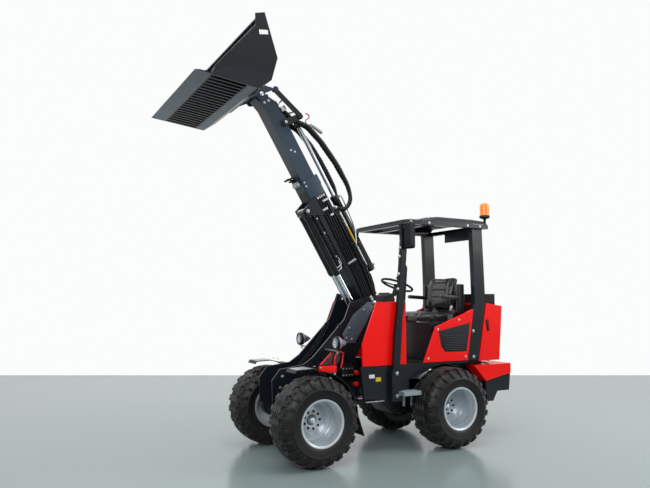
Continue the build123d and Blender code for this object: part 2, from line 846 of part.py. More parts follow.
steps.part.label = "steps"
export_step(steps.part, "parts/steps.step")

# ================= steering cylinder =================
steer_line = Vector(steer_front_x - steer_rear_x, steer_front_y - steer_rear_y, 0)
steer_angle_dir = steer_line.normalized()
with BuildPart() as steer_barrel:
    with BuildSketch(
        Plane(origin=Vector(steer_rear_x, steer_rear_y, steer_z), x_dir=(0, 0, 1), z_dir=steer_angle_dir)
    ):
        Circle(steer_barrel_radius)
    extrude(amount=steer_barrel_length)
    with BuildSketch(
        Plane(
            origin=Vector(steer_rear_x, steer_rear_y, steer_z) + steer_angle_dir * 50,
            x_dir=(0, 0, 1),
            z_dir=steer_angle_dir,
        )
    ):
        Circle(steer_rod_radius + running_gap)
    extrude(amount=steer_barrel_length, mode=Mode.SUBTRACT)
    with Locations((steer_rear_x, steer_rear_y, steer_z)):
        Cylinder(steer_barrel_radius + 2, 2 * steer_eye_half)
        Cylinder(steer_pin_radius + running_gap, 4 * steer_eye_half, mode=Mode.SUBTRACT)
steer_barrel.part.label = "steer_barrel"
export_step(steer_barrel.part, "parts/steer_barrel.step")

steer_rod_back = 220.0
with BuildPart() as steer_rod:
    with BuildSketch(
        Plane(
            origin=Vector(steer_rear_x, steer_rear_y, steer_z) + steer_angle_dir * steer_rod_back,
            x_dir=(0, 0, 1),
            z_dir=steer_angle_dir,
        )
    ):
        Circle(steer_rod_radius)
    extrude(amount=steer_line.length - steer_rod_back)
    with Locations((steer_front_x, steer_front_y, steer_z)):
        Cylinder(steer_eye_radius, 36)
steer_rod.part.label = "steer_rod"
export_step(steer_rod.part, "parts/steer_rod.step")

# ================= front frame =================
eye_step = 2 * lug_half_height + piece_gap
with BuildPart() as front_chassis:
    for side in (-1, 1):
        with BuildSketch(Plane.XZ.offset(-side * (tower_half - tower_plate / 2))):
            with BuildLine():
                Polyline(
                    (articulation_x + 115, axle_height - 40),
                    (articulation_x + 115, deck_z + 60),
                    (boom_pivot_x - 58, boom_pivot_z - 70),
                    (boom_pivot_x - 62, boom_pivot_z + 24),
                    (boom_pivot_x, boom_pivot_z + 74),
                    (boom_pivot_x + 80, boom_pivot_z + 62),
                    (boom_pivot_x + 270, boom_pivot_z + 10),
                    (boom_pivot_x + 340, boom_pivot_z - 160),
                    (front_axle_x - 169, deck_z + 82),
                    (front_axle_x - 69, deck_z + 18),
                    (front_axle_x + 170, deck_z - 12),
                    (front_axle_x + 248, deck_z - 110),
                    (front_axle_x + 240, axle_height + 120),
                    (front_axle_x + 100, axle_height - 70),
                    close=True,
                )
            make_face()
        extrude(amount=tower_plate / 2, both=True)
    with Locations((front_axle_x, 0, axle_height)):
        Cylinder(axle_tube_radius, 2 * axle_end_y, rotation=(90, 0, 0))
    for side in (-1, 1):
        with Locations((front_axle_x, side * (axle_end_y - hub_length / 2), axle_height)):
            Cylinder(hub_radius, hub_length, rotation=(90, 0, 0))
    with Locations((articulation_x + 450, 0, axle_height - 52)):
        Box(660, 2 * tower_half, 24)
    with Locations((articulation_x + 145, 0, axle_height + 125)):
        Box(60, 2 * tower_half - 2, 330)
    for eye_z in (lower_lug_z + eye_step, upper_lug_z - eye_step):
        with Locations((articulation_x + 60, 0, eye_z)):
            Box(120, 2 * lug_radius - 20, 2 * lug_half_height)
        with Locations((articulation_x, 0, eye_z)):
            Cylinder(lug_radius - 10, 2 * lug_half_height)
    with Locations((articulation_x, 0, axle_height + 137)):
        Cylinder(articulation_pin_radius + running_gap, 300, mode=Mode.SUBTRACT)
    # bracket under the steering cylinder's rod
    with Locations((steer_front_x - 5, (tower_half + steer_front_y + 30) / 2, steer_z - 36)):
        Box(80, steer_front_y + 30 - tower_half + 2, 24)
    # bushed holes for the boom's pivot pin
    with Locations((boom_pivot_x, 0, boom_pivot_z)):
        Cylinder(pivot_pin_radius + running_gap, 2 * tower_half + 20, rotation=(90, 0, 0), mode=Mode.SUBTRACT)
front_chassis.part.label = "front_chassis"
export_step(front_chassis.part, "parts/front_chassis.step")

fender_top_z = deck_z + 20.0
fender_arc_radius = tyre_radius + 40.0
fender_thickness = 8.0
fender_inner_y = wheel_half - 148.0
fender_outer_y = wheel_half + 38.0
flap_bottom_x = front_axle_x - 492.0
flap_bottom_z = axle_height - 173.0
with BuildPart() as front_fenders:
    for side in (-1, 1):
        with BuildSketch(Plane.XZ.offset(-side * (fender_inner_y + fender_outer_y) / 2)):
            with BuildLine():
                arch = CenterArc((front_axle_x, axle_height), fender_arc_radius, 100, 78)
                Line(arch @ 1, (flap_bottom_x, flap_bottom_z))
                Line(arch @ 0, (front_axle_x + 40, fender_top_z))
                Line((front_axle_x + 40, fender_top_z), (front_axle_x + 186, fender_top_z - 6))
                Line((front_axle_x + 186, fender_top_z - 6), (front_axle_x + 204, fender_top_z - 30))
            trace(line_width=fender_thickness)
        extrude(amount=(fender_outer_y - fender_inner_y) / 2, both=True)
        with Locations((front_axle_x - 74, side * (tower_half + fender_inner_y + 20) / 2, fender_top_z - 26)):
            Box(60, fender_inner_y + 20 - tower_half - 1, 12)
front_fenders.part.label = "front_fenders"
export_step(front_fenders.part, "parts/front_fenders.step")

lamp_x = front_axle_x - 296.0
lamp_y = 378.0
lamp_z = deck_z + 222.0
lamp_radius = 62.0
lamp_depth = 95.0
with BuildPart() as work_lights:
    for side in (-1, 1):
        lamp_face = Plane(origin=(lamp_x, side * lamp_y, lamp_z), x_dir=(0, 1, 0), z_dir=(-1, 0, 0))
        with BuildSketch(lamp_face):
            Circle(lamp_radius)
        extrude(amount=30)
        with BuildSketch(lamp_face.offset(30)):
            Circle(lamp_radius - 6)
        with BuildSketch(lamp_face.offset(lamp_depth)):
            Circle(24)
        loft()
        with Locations((lamp_x - 10, side * (lamp_y + tower_half + 1) / 2, lamp_z - 70)):
            Box(16, lamp_y - tower_half - 1, 12)
        with Locations((lamp_x - 10, side * (lamp_y - 6), lamp_z - 50)):
            Box(16, 12, 50)
work_lights.part.label = "work_lights"
export_step(work_lights.part, "parts/work_lights.step")

# ================= boom =================
with BuildPart() as boom_outer:
    with BuildSketch(boom_plane):
        with Locations(((outer_rear_s + outer_front_s) / 2, inner_axis_t)):
            Rectangle(outer_front_s - outer_rear_s, outer_height)
        Circle(66)
        with BuildLine():
            Polyline(
                (-20, 60),
                (-20, -60),
                (outer_rear_s + 60, inner_axis_t - outer_height / 2),
                (outer_rear_s + 60, inner_axis_t + outer_height / 2),
                close=True,
            )
        make_face()
    extrude(amount=outer_half, both=True)
    with BuildSketch(boom_plane):
        with Locations(((160 + outer_front_s + 40) / 2, inner_axis_t)):
            Rectangle(outer_front_s + 40 - 160, outer_height - 2 * outer_wall)
    extrude(amount=outer_half - outer_wall, both=True, mode=Mode.SUBTRACT)
    # pivot pin, held by the boom and turning in the tower
    with BuildSketch(boom_plane):
        Circle(pivot_pin_radius)
    extrude(amount=tower_half + 12, both=True)
    # lugs for the lift cylinders' upper pin
    for side in (-1, 1):
        with BuildSketch(boom_plane.offset(side * (outer_half + 6))):
            with BuildLine():
                Polyline(
                    (lift_top_s - 120, inner_axis_t - outer_height / 2 + 60),
                    (lift_top_s - 34, lift_t - 24),
                    (lift_top_s + 34, lift_t - 24),
                    (lift_top_s + 90, inner_axis_t - outer_height / 2 + 60),
                    close=True,
                )
            make_face()
            with Locations((lift_top_s, lift_t)):
                Circle(lift_pin_radius + running_gap, mode=Mode.SUBTRACT)
        extrude(amount=7, both=True)
boom_outer.part.label = "boom_outer"
export_step(boom_outer.part, "parts/boom_outer.step")

with BuildPart() as tilt_barrel:
    with BuildSketch(along_boom(tilt_barrel_rear_s, tilt_t)):
        Circle(tilt_barrel_radius)
    extrude(amount=tilt_barrel_front_s - tilt_barrel_rear_s)
    with BuildSketch(along_boom(tilt_barrel_rear_s + 40, tilt_t)):
        Circle(tilt_rod_radius + running_gap)
    extrude(amount=tilt_barrel_front_s - tilt_barrel_rear_s, mode=Mode.SUBTRACT)
    # saddles that carry the barrel on the boom
    outer_top_t = inner_axis_t + outer_height / 2
    saddle_t = (outer_top_t + tilt_t - tilt_barrel_radius) / 2 + 2
    for saddle_s in (tilt_barrel_rear_s + 40, tilt_barrel_front_s - 180):
        with BuildSketch(boom_plane):
            with Locations((saddle_s, saddle_t)):
                Rectangle(40, tilt_t - tilt_barrel_radius - outer_top_t + 2)
        extrude(amount=30, both=True)
tilt_barrel.part.label = "tilt_barrel"
export_step(tilt_barrel.part, "parts/tilt_barrel.step")

tilt_rod_rear_s = tilt_barrel_front_s - 85.0
tilt_fork_half = 26.0
tilt_pin_half = 46.0
with BuildPart() as tilt_rod:
    with BuildSketch(along_boom(tilt_rod_rear_s, tilt_t)):
        Circle(tilt_rod_radius)
    extrude(amount=tilt_eye_s - 20 - tilt_rod_rear_s)
    with BuildSketch(boom_plane):
        with Locations((tilt_eye_s, tilt_eye_t)):
            Circle(30)
        with Locations((tilt_eye_s - 40, tilt_t)):
            Rectangle(60, 44)
    extrude(amount=tilt_fork_half, both=True)
    with BuildSketch(boom_plane):
        with Locations((tilt_eye_s, tilt_eye_t)):
            Circle(link_pin_radius)
    extrude(amount=tilt_pin_half, both=True)
tilt_rod.part.label = "tilt_rod"
export_step(tilt_rod.part, "parts/tilt_rod.step")

with BuildPart() as boom_inner:
    with BuildSketch(boom_plane):
        with Locations(((inner_rear_s + inner_front_s) / 2, inner_axis_t)):
            Rectangle(inner_front_s - inner_rear_s, inner_height)
    extrude(amount=inner_width / 2, both=True)
    with BuildSketch(boom_plane):
        with Locations(((inner_rear_s + inner_front_s) / 2 - 60, inner_axis_t)):
            Rectangle(inner_front_s - inner_rear_s, inner_height - 2 * inner_wall)
    extrude(amount=inner_width / 2 - inner_wall, both=True, mode=Mode.SUBTRACT)
    with BuildSketch(boom_plane):
        with BuildLine():
            Polyline(
                (inner_front_s - 10, inner_axis_t + inner_height / 2),
                (head_pin_s + 10, head_pin_t + 58),
                (head_pin_s + 38, head_pin_t + 20),
                (head_pin_s + 30, head_pin_t - 28),
                (head_pin_s - 10, head_pin_t - 36),
                (inner_front_s - 10, inner_axis_t - inner_height / 2),
                close=True,
            )
        make_face()
    extrude(amount=inner_width / 2 - 2, both=True)
    # stub pins that carry the tilt lever, one on each side
    with BuildSketch(boom_plane):
        with Locations((lever_pivot_s, lever_pivot_t)):
            Circle(link_pin_radius)
    extrude(amount=lever_inner_y + lever_thickness, both=True)
    with BuildSketch(boom_plane):
        with Locations((lever_pivot_s, lever_pivot_t)):
            Circle(24)
    extrude(amount=lever_inner_y - 1, both=True)
boom_inner.part.label = "boom_inner"
export_step(boom_inner.part, "parts/boom_inner.step")

with BuildPart() as tilt_lever:
    for side in (-1, 1):
        with BuildSketch(boom_plane.offset(side * (lever_inner_y + lever_thickness / 2))):
            with Locations((lever_pivot_s, lever_pivot_t)):
                Circle(34)
            with Locations((tilt_eye_s, tilt_eye_t)):
                Circle(28)
            make_hull()
            with Locations((lever_pivot_s, lever_pivot_t)):
                Circle(link_pin_radius + running_gap, mode=Mode.SUBTRACT)
        extrude(amount=lever_thickness / 2, both=True)
        with BuildSketch(boom_plane.offset(side * (link_inner_y + link_thickness / 2 - 2))):
            with Locations((tilt_eye_s, tilt_eye_t)):
                Circle(link_pin_radius)
        extrude(amount=link_thickness / 2 + 3, both=True)
tilt_lever.part.label = "tilt_lever"
export_step(tilt_lever.part, "parts/tilt_lever.step")

with BuildPart() as tilt_link:
    for side in (-1, 1):
        with BuildSketch(boom_plane.offset(side * (link_inner_y + link_thickness / 2))):
            with Locations((tilt_eye_s, tilt_eye_t)):
                Circle(26)
            with Locations((link_pin_s, link_pin_t)):
                Circle(26)
            make_hull()
            with Locations((tilt_eye_s, tilt_eye_t), (link_pin_s, link_pin_t)):
                Circle(link_pin_radius + running_gap, mode=Mode.SUBTRACT)
        extrude(amount=link_thickness / 2, both=True)
tilt_link.part.label = "tilt_link"
export_step(tilt_link.part, "parts/tilt_link.step")

# ---- sleeved hoses on the boom, one on each side of the tilt cylinder
hose_radius = 22.0
hose_y = (tilt_pin_half + lever_inner_y) / 2 - 1.0
hose_block_s = link_pin_s - 190.0
hose_block_length = 50.0
hose_block_height = 52.0
hose_block_t = inner_axis_t + inner_height / 2 + hose_block_height / 2
# side, s and t of each point, and the radius of each bend between
left_hose = (
    1,
    [
        (2086, 128),
        (1975, 165),
        (1850, 285),
        (1660, 345),
        (1400, 388),
        (1130, 400),
        (975, 350),
        (950, 235),
        (1008, 165),
    ],
    [120, 150, 400, 600, 400, 130, 70],
)
right_hose = (
    -1,
    [
        (2086, 128),
        (1990, 160),
        (1860, 255),
        (1660, 305),
        (1480, 322),
        (1190, 330),
        (1010, 282),
        (965, 205),
        (1018, 152),
    ],
    [120, 150, 400, 500, 400, 110, 50],
)
with BuildPart() as boom_hoses:
    for hose_side, hose_points, hose_bends in (left_hose, right_hose):
        with BuildLine() as hose_line:
            FilletPolyline(
                *[boom_at(point_s, point_t, hose_side * hose_y) for point_s, point_t in hose_points],
                radius=hose_bends,
            )
        with BuildSketch(Plane(origin=hose_line.line @ 0, z_dir=hose_line.line % 0)):
            Circle(hose_radius)
        sweep(path=hose_line.line)
        hose_length = sum(run.length for run in hose_line.edges())
        print("boom hose", hose_side, "bends", hose_bends, "length", round(hose_length))
    # fitting blocks on the inner boom that the hoses leave from
    for side in (-1, 1):
        with BuildSketch(boom_plane.offset(side * hose_y)):
            with Locations((hose_block_s, hose_block_t)):
                Rectangle(hose_block_length, hose_block_height)
        extrude(amount=hose_radius, both=True)
boom_hoses.part.label = "boom_hoses"
export_step(boom_hoses.part, "parts/boom_hoses.step")

# side offset, how far forward and how far down each cross hose reaches, and its bend radius
cross_hoses = [(46.0, 78.0, 76.0, 32.0), (20.0, 50.0, 44.0, 17.0)]
cross_hose_radius = 10.0
mouth_block_t = inner_axis_t - outer_height / 2 - 14.5
with BuildPart() as lift_hoses:
    for hose_side_y, hose_forward, hose_down, hose_bend in cross_hoses:
        with BuildLine() as loop_line:
            FilletPolyline(
                boom_at(outer_front_s - 4, mouth_block_t, hose_side_y),
                boom_at(outer_front_s + hose_forward, mouth_block_t, hose_side_y),
                boom_at(outer_front_s + hose_forward, mouth_block_t - hose_down, hose_side_y),
                boom_at(outer_front_s + hose_forward, mouth_block_t - hose_down, -hose_side_y),
                boom_at(outer_front_s + hose_forward, mouth_block_t, -hose_side_y),
                boom_at(outer_front_s - 4, mouth_block_t, -hose_side_y),
                radius=[hose_bend, hose_bend * 0.6, hose_bend * 0.6, hose_bend],
            )
        with BuildSketch(Plane(origin=loop_line.line @ 0, z_dir=loop_line.line % 0)):
            Circle(cross_hose_radius)
        sweep(path=loop_line.line)
    # the block under the mouth of the outer boom that the cross hoses leave from
    with BuildSketch(boom_plane):
        with Locations((outer_front_s - 15, mouth_block_t)):
            Rectangle(30, 26)
    extrude(amount=64, both=True)
lift_hoses.part.label = "lift_hoses"
export_step(lift_hoses.part, "parts/lift_hoses.step")

# ---- lift cylinders
with BuildPart() as lift_barrels:
    for side in (-1, 1):
        with BuildSketch(along_boom(lift_barrel_lower_s, lift_t, side * lift_side)):
            Circle(lift_barrel_radius)
            Circle(lift_rod_radius + running_gap, mode=Mode.SUBTRACT)
        extrude(amount=lift_top_s - 60 - lift_barrel_lower_s)
        with BuildSketch(along_boom(lift_top_s - 62, lift_t, side * lift_side)):
            Circle(lift_barrel_radius)
        extrude(amount=30)
    with BuildSketch(boom_plane):
        with Locations((lift_top_s, lift_t)):
            Circle(34)
        with Locations((lift_top_s - 30, lift_t)):
            Rectangle(60, 60)
    extrude(amount=lift_side + 22, both=True)
    with BuildSketch(boom_plane):
        with Locations((lift_top_s, lift_t)):
            Circle(lift_pin_radius)
    extrude(amount=outer_half + 18, both=True)
lift_barrels.part.label = "lift_barrels"
export_step(lift_barrels.part, "parts/lift_barrels.step")

with BuildPart() as lift_rods:
    for side in (-1, 1):
        with BuildSketch(along_boom(lift_base_s, lift_t, side * lift_side)):
            Circle(lift_rod_radius)
        extrude(amount=lift_barrel_lower_s + 80 - lift_base_s)
        with BuildSketch(boom_plane.offset(side * lift_side)):
            with Locations((lift_base_s, lift_t)):
                Circle(lift_eye_radius)
        extrude(amount=lift_eye_half, both=True)
    with BuildSketch(boom_plane):
        with Locations((lift_base_s, lift_t)):
            Circle(lift_pin_radius)
    extrude(amount=tower_half - tower_plate - 8, both=True)
lift_rods.part.label = "lift_rods"
export_step(lift_rods.part, "parts/lift_rods.step")

# ================= quick coupler and bucket =================
head_pin_uw = bucket_uw(boom_at(head_pin_s, head_pin_t))
link_pin_uw = bucket_uw(boom_at(link_pin_s, link_pin_t))
ear_inner_y = link_inner_y + link_thickness + 2.0
ear_thickness = 16.0
back_gap = 1.0
with BuildPart() as quick_coupler:
    for side in (-1, 1):
        with BuildSketch(bucket_plane.offset(side * (ear_inner_y + ear_thickness / 2))):
            with Locations(head_pin_uw):
                Circle(42)
            with Locations(link_pin_uw):
                Circle(28)
            with BuildLine():
                Polyline(
                    head_pin_uw,
                    (-114, 104),
                    (-145, 300),
                    link_pin_uw,
                    close=True,
                )
            make_face()
        extrude(amount=ear_thickness / 2, both=True)
    with BuildSketch(bucket_plane):
        with BuildLine():
            Polyline(
                (-109 - back_gap, 100),
                (-140 - back_gap, 301),
                (-120 - back_gap, 352),
                (-132 - back_gap, 358),
                (-153 - back_gap, 302),
                (-122 - back_gap, 99),
                close=True,
            )
        make_face()
    extrude(amount=300, both=True)
    with BuildSketch(bucket_plane):
        with Locations(head_pin_uw):
            Circle(22)
    extrude(amount=ear_inner_y + ear_thickness + 6, both=True)
    with BuildSketch(bucket_plane):
        with Locations(link_pin_uw):
            Circle(link_pin_radius)
    extrude(amount=ear_inner_y + ear_thickness + 6, both=True)
    with BuildSketch(bucket_plane):
        with Locations(head_pin_uw, link_pin_uw):
            Circle(62)
    extrude(amount=inner_width / 2 + 0.5, both=True, mode=Mode.SUBTRACT)
quick_coupler.part.label = "quick_coupler"
export_step(quick_coupler.part, "parts/quick_coupler.step")

slot_count = 21
slot_width = 50.0
slot_start_u = 95.0
slot_end_u = 396.0
tine_height = 34.0
back_low = (-139.0, 301.0)
back_top = (25.0, 662.0)
back_slot_length = 150.0
back_slot_centre = (-10.0, 571.0)
back_angle = 65.6
with BuildPart() as bucket:
    for side in (-1, 1):
        with BuildSketch(bucket_plane.offset(side * (bucket_width / 2 - bucket_side_plate / 2))):
            with BuildLine():
                Polyline(
                    (0, 0),
                    (407, 0),
                    (386, 73),
                    (85, 526),
                    (100, 630),
                    back_top,
                    back_low,
                    (-108, 96),
                    close=True,
                )
            make_face()
        extrude(amount=bucket_side_plate / 2, both=True)
    with BuildSketch(bucket_plane):
        with BuildLine():
            Polyline(
                (0, 0),
                (bucket_floor_length, 0),
                (bucket_floor_length - 40, bucket_plate),
                (4, bucket_plate),
                (-98, 100),
                (-129, 299),
                (29, 648),
                (56, 637),
                (60, 647),
                back_top,
                back_low,
                (-108, 96),
                close=True,
            )
        make_face()
    extrude(amount=bucket_width / 2 - 1, both=True)
    # slots through the floor and through the top of the back
    slot_pitch = (bucket_width - 2 * bucket_side_plate) / slot_count
    for slot_index in range(slot_count):
        slot_y = (slot_index - (slot_count - 1) / 2) * slot_pitch
        with BuildSketch(bucket_plane.offset(slot_y)):
            with Locations(((slot_start_u + slot_end_u) / 2, bucket_plate / 2)):
                Rectangle(slot_end_u - slot_start_u, bucket_plate * 3)
            with Locations(back_slot_centre):
                Rectangle(back_slot_length, bucket_plate * 3, rotation=back_angle)
        extrude(amount=slot_width / 2, both=True, mode=Mode.SUBTRACT)
    # tall tines between the floor's slots
    for tine_index in range(slot_count - 1):
        tine_y = (tine_index - (slot_count - 2) / 2) * slot_pitch
        with BuildSketch(bucket_plane.offset(tine_y)):
            with BuildLine():
                Polyline(
                    (slot_start_u - 30, bucket_plate / 2),
                    (slot_end_u + 30, bucket_plate / 2),
                    (slot_end_u, tine_height),
                    (slot_start_u, tine_height),
                    close=True,
                )
            make_face()
        extrude(amount=(slot_pitch - slot_width) / 2, both=True)
bucket.part.label = "bucket"
export_step(bucket.part, "parts/bucket.step")
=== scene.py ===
import json
import math

import bmesh
import bpy
from mathutils import Matrix, Vector, noise


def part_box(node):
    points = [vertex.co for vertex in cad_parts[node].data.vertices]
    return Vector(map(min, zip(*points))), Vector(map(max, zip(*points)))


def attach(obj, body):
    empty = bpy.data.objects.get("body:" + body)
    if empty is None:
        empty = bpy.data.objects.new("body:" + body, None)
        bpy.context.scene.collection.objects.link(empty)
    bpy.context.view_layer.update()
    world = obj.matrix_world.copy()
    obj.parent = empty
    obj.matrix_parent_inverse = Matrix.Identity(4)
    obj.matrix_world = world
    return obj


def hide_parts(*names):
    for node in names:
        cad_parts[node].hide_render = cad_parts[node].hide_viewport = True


# Compact articulated wheel loader with a raised telescopic boom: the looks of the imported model.
# Metres. +X is forward, +Y is the machine's left, +Z is up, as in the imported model.
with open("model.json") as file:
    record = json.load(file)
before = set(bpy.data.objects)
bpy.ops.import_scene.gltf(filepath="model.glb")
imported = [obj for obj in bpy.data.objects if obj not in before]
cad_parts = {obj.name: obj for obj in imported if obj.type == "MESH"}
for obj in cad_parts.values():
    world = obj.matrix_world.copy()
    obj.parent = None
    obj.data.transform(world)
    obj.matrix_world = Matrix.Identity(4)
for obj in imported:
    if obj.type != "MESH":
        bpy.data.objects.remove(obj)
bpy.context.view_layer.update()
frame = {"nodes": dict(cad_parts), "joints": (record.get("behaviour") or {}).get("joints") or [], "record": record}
nodes = frame["nodes"]
joints = {joint["name"]: joint for joint in frame["joints"]}
both = (-1, 1)
ends = ("rear", "front")
flanks = (("left", 1), ("right", -1))


# ---------------------------------------------------------------- places read from the frame
def at(x, y, z):
    return Vector((x, y, z))


def joint_place(name):
    return Vector(joints[name]["pos_m"])


def mm(*numbers):
    """Pairs of metres from a run of numbers in millimetres."""
    metres = [number / 1000 for number in numbers]
    return list(zip(metres[::2], metres[1::2]))


def low(node):
    return Vector(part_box(node)[0])


def high(node):
    return Vector(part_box(node)[1])


pivot = joint_place("lift")
along = Vector(joints["telescope"]["axis"])
above = at(-along.z, 0, along.x)
ahead = at(1, 0, 0)
left = at(0, 1, 0)
up = at(0, 0, 1)
head_pin = joint_place("bucket_tilt")
lever_pin = joint_place("tilt_lever")
articulation = joint_place("articulation")
rear_axle = joint_place("wheel_rear_left")
front_axle = joint_place("wheel_front_left")
deck_z = low("console").z
side_y = high("bodywork").y
post_y = high("rops_front").y
seat_base_z = deck_z + 0.385


def boom(s, t, y=0.0):
    """A place given along the boom from its pivot, square to it, and to the left."""
    return pivot + along * s + above * t + left * y


# ---------------------------------------------------------------- materials
def srgb(code):
    """A linear colour, with its alpha, from a hex code."""
    parts = [int(code[i : i + 2], 16) / 255 for i in (0, 2, 4)]
    return [c / 12.92 if c <= 0.04045 else ((c + 0.055) / 1.055) ** 2.4 for c in parts] + [1]


def link(tree, out, into):
    tree.links.new(out, into)


def set_inputs(node, **values):
    """Sets a node's inputs by name, with _ for each space."""
    for name, value in values.items():
        node.inputs[name.replace("_", " ")].default_value = value
    return node


def add_node(tree, kind, **values):
    return set_inputs(tree.nodes.new("ShaderNode" + kind), **values)


def new_material(name):
    mat = bpy.data.materials.new(name)
    mat.use_nodes = True
    return mat, mat.node_tree, mat.node_tree.nodes["Principled BSDF"]


def add_bump(tree, shader, height, strength, distance):
    bump = add_node(tree, "Bump", Strength=strength, Distance=distance)
    link(tree, height, bump.inputs["Height"])
    link(tree, bump.outputs["Normal"], shader.inputs["Normal"])


def finish_of(
    name, code, rough, metal=0.0, coat=0.0, mottle=0.08, mottle_scale=6.0, grain=0.0, grain_scale=900.0,
    dust=0.0, dust_top=0.6, specular=0.5,
):
    """A paint, plastic, rubber or metal: mottled colour, uneven gloss, a fine grain and dust low down."""
    mat, tree, shader = new_material(name)
    set_inputs(shader, Metallic=metal, Coat_Weight=coat, Coat_Roughness=0.08, Specular_IOR_Level=specular)
    place = add_node(tree, "TexCoord").outputs["Object"]
    cloud = add_node(tree, "TexNoise", Scale=mottle_scale, Detail=6)
    link(tree, place, cloud.inputs["Vector"])
    ramp = add_node(tree, "ValToRGB")
    for stop, position, factor in zip(ramp.color_ramp.elements, (0.3, 0.7), (1 - mottle, 1 + mottle)):
        stop.position = position
        stop.color = [min(1, c * factor) for c in srgb(code)[:3]] + [1]
    link(tree, cloud.outputs["Fac"], ramp.inputs["Fac"])
    colour = ramp.outputs["Color"]
    streak = add_node(tree, "TexNoise", Scale=mottle_scale * 3, Detail=4)
    link(tree, place, streak.inputs["Vector"])
    gloss = add_node(
        tree, "MapRange", From_Min=0.3, From_Max=0.7, To_Min=rough * 0.95, To_Max=min(1, rough * 1.05)
    )
    link(tree, streak.outputs["Fac"], gloss.inputs["Value"])
    link(tree, gloss.outputs["Result"], shader.inputs["Roughness"])
    if dust:
        split = add_node(tree, "SeparateXYZ")
        link(tree, place, split.inputs["Vector"])
        fade = add_node(tree, "MapRange", From_Min=dust_top, From_Max=0.0, To_Min=0.0, To_Max=dust)
        link(tree, split.outputs["Z"], fade.inputs["Value"])
        speck = add_node(tree, "Math")
        speck.operation = "MULTIPLY"
        link(tree, fade.outputs["Result"], speck.inputs[0])
        link(tree, streak.outputs["Fac"], speck.inputs[1])
        mix = add_node(tree, "Mix")
        mix.data_type = "RGBA"
        link(tree, speck.outputs["Value"], mix.inputs["Factor"])
        link(tree, colour, mix.inputs["A"])
        mix.inputs["B"].default_value = srgb("8b8577")
        colour = mix.outputs["Result"]
    link(tree, colour, shader.inputs["Base Color"])
    if grain:
        fine = add_node(tree, "TexNoise", Scale=grain_scale, Detail=3)
        link(tree, place, fine.inputs["Vector"])
        add_bump(tree, shader, fine.outputs["Fac"], grain, 0.0006)
    return mat


def clear_of(name, code, rough, alpha=1.0, through=1.0, glow=0.0):
    """Clear or tinted plastic or glass, faintly uneven."""
    mat = finish_of(name, code, rough, mottle=0.03, coat=0.3)
    shader = mat.node_tree.nodes["Principled BSDF"]
    set_inputs(shader, Transmission_Weight=through, IOR=1.45, Alpha=alpha)
    if glow:
        set_inputs(shader, Emission_Color=srgb(code), Emission_Strength=glow)
    return mat


red_paint = finish_of("red_paint", "f60b04", 0.34, coat=0.12, mottle=0.03, mottle_scale=2, specular=0.25)
frame_paint = finish_of(
    "frame_paint", "12181e", 0.32, coat=0.1, mottle=0.05, mottle_scale=3, dust=0.12, specular=0.22
)
boom_paint = finish_of("boom_paint", "293845", 0.32, coat=0.12, mottle=0.06, mottle_scale=3, specular=0.28)
# a darker copy of the boom paint: painted shade for the outer boom's sides, which lie in shadow
boom_shaded_paint = finish_of("boom_shaded_paint", "151c23", 0.32, coat=0.1, mottle=0.06, mottle_scale=3, specular=0.22)
bucket_paint = finish_of("bucket_paint", "101317", 0.34, coat=0.06, mottle=0.1, mottle_scale=4, specular=0.2)
machine_metal = finish_of(
    "machine_metal", "24282b", 0.5, metal=0.3, mottle=0.2, grain=0.2, dust=0.4, dust_top=0.9
)
black_plastic = finish_of(
    "black_plastic", "101113", 0.48, mottle=0.1, grain=0.35, grain_scale=1400, specular=0.22
)
cylinder_paint = finish_of("cylinder_paint", "0b0d10", 0.24, coat=0.15, mottle=0.02, specular=0.3)
chrome = finish_of("chrome", "d4dade", 0.12, metal=1.0, mottle=0.03)
zinc = finish_of("zinc", "aab0b4", 0.34, metal=0.9, mottle=0.14, mottle_scale=60, grain=0.1)
rim_paint = finish_of("rim_paint", "bcc4ca", 0.30, metal=0.55, coat=0.3, mottle=0.03, dust=0.06)
hose_rubber = finish_of("hose_rubber", "0c0d0f", 0.42, mottle=0.12, grain=0.4, grain_scale=700, specular=0.22)
roof_paint = finish_of("roof_paint", "20262a", 0.42, grain=0.3, specular=0.25)
lamp_shell = finish_of("lamp_shell", "8f8f95", 0.24, metal=0.45, mottle=0.04)
panel_grey = finish_of("panel_grey", "1b2024", 0.5, grain=0.3, grain_scale=1100, specular=0.22)
steel_edge = finish_of("steel_edge", "5f6b75", 0.42, metal=0.55, mottle_scale=5)
white_plate = finish_of("white_plate", "d9dbd8", 0.4, mottle=0.03)
yellow_plate = finish_of("yellow_plate", "d8b21c", 0.4, mottle=0.04)
red_plastic = finish_of("red_plastic", "c81512", 0.35, grain=0.15)
grip_grey = finish_of("grip_grey", "8d9094", 0.4, mottle=0.06)
cap_red = finish_of("cap_red", "a8626a", 0.35, mottle=0.06)
step_steel = finish_of("step_steel", "9aa5aa", 0.36, metal=0.7, mottle_scale=20)
# a lighter slate for the plates on the tower's sides: painted light where the tower's side is lit
tower_lit_paint = finish_of("tower_lit_paint", "46525d", 0.33, coat=0.3, mottle=0.04, mottle_scale=3)
panel_dark = finish_of("panel_dark", "3a1d20", 0.35, coat=0.3, mottle=0.05)
mirror_glass = finish_of("mirror_glass", "dfe5e8", 0.04, metal=1.0, mottle=0.01)
amber = clear_of("amber", "ff8a08", 0.12, through=0.55, glow=0.25)
lens_glass = clear_of("lens_glass", "e6edf0", 0.06, through=0.85)
roof_glass = clear_of("roof_glass", "dfe7e6", 0.08, alpha=0.12)


def tyre_rubber():
    """Black rubber with a film of dust and a dull sheen."""
    mat = finish_of(
        "tyre_rubber", "0a0b0c", 0.44, mottle=0.12, mottle_scale=9, grain=0.2, grain_scale=300, dust=0.07,
        specular=0.25,
    )
    set_inputs(mat.node_tree.nodes["Principled BSDF"], Sheen_Weight=0.12, Sheen_Roughness=0.4)
    return mat


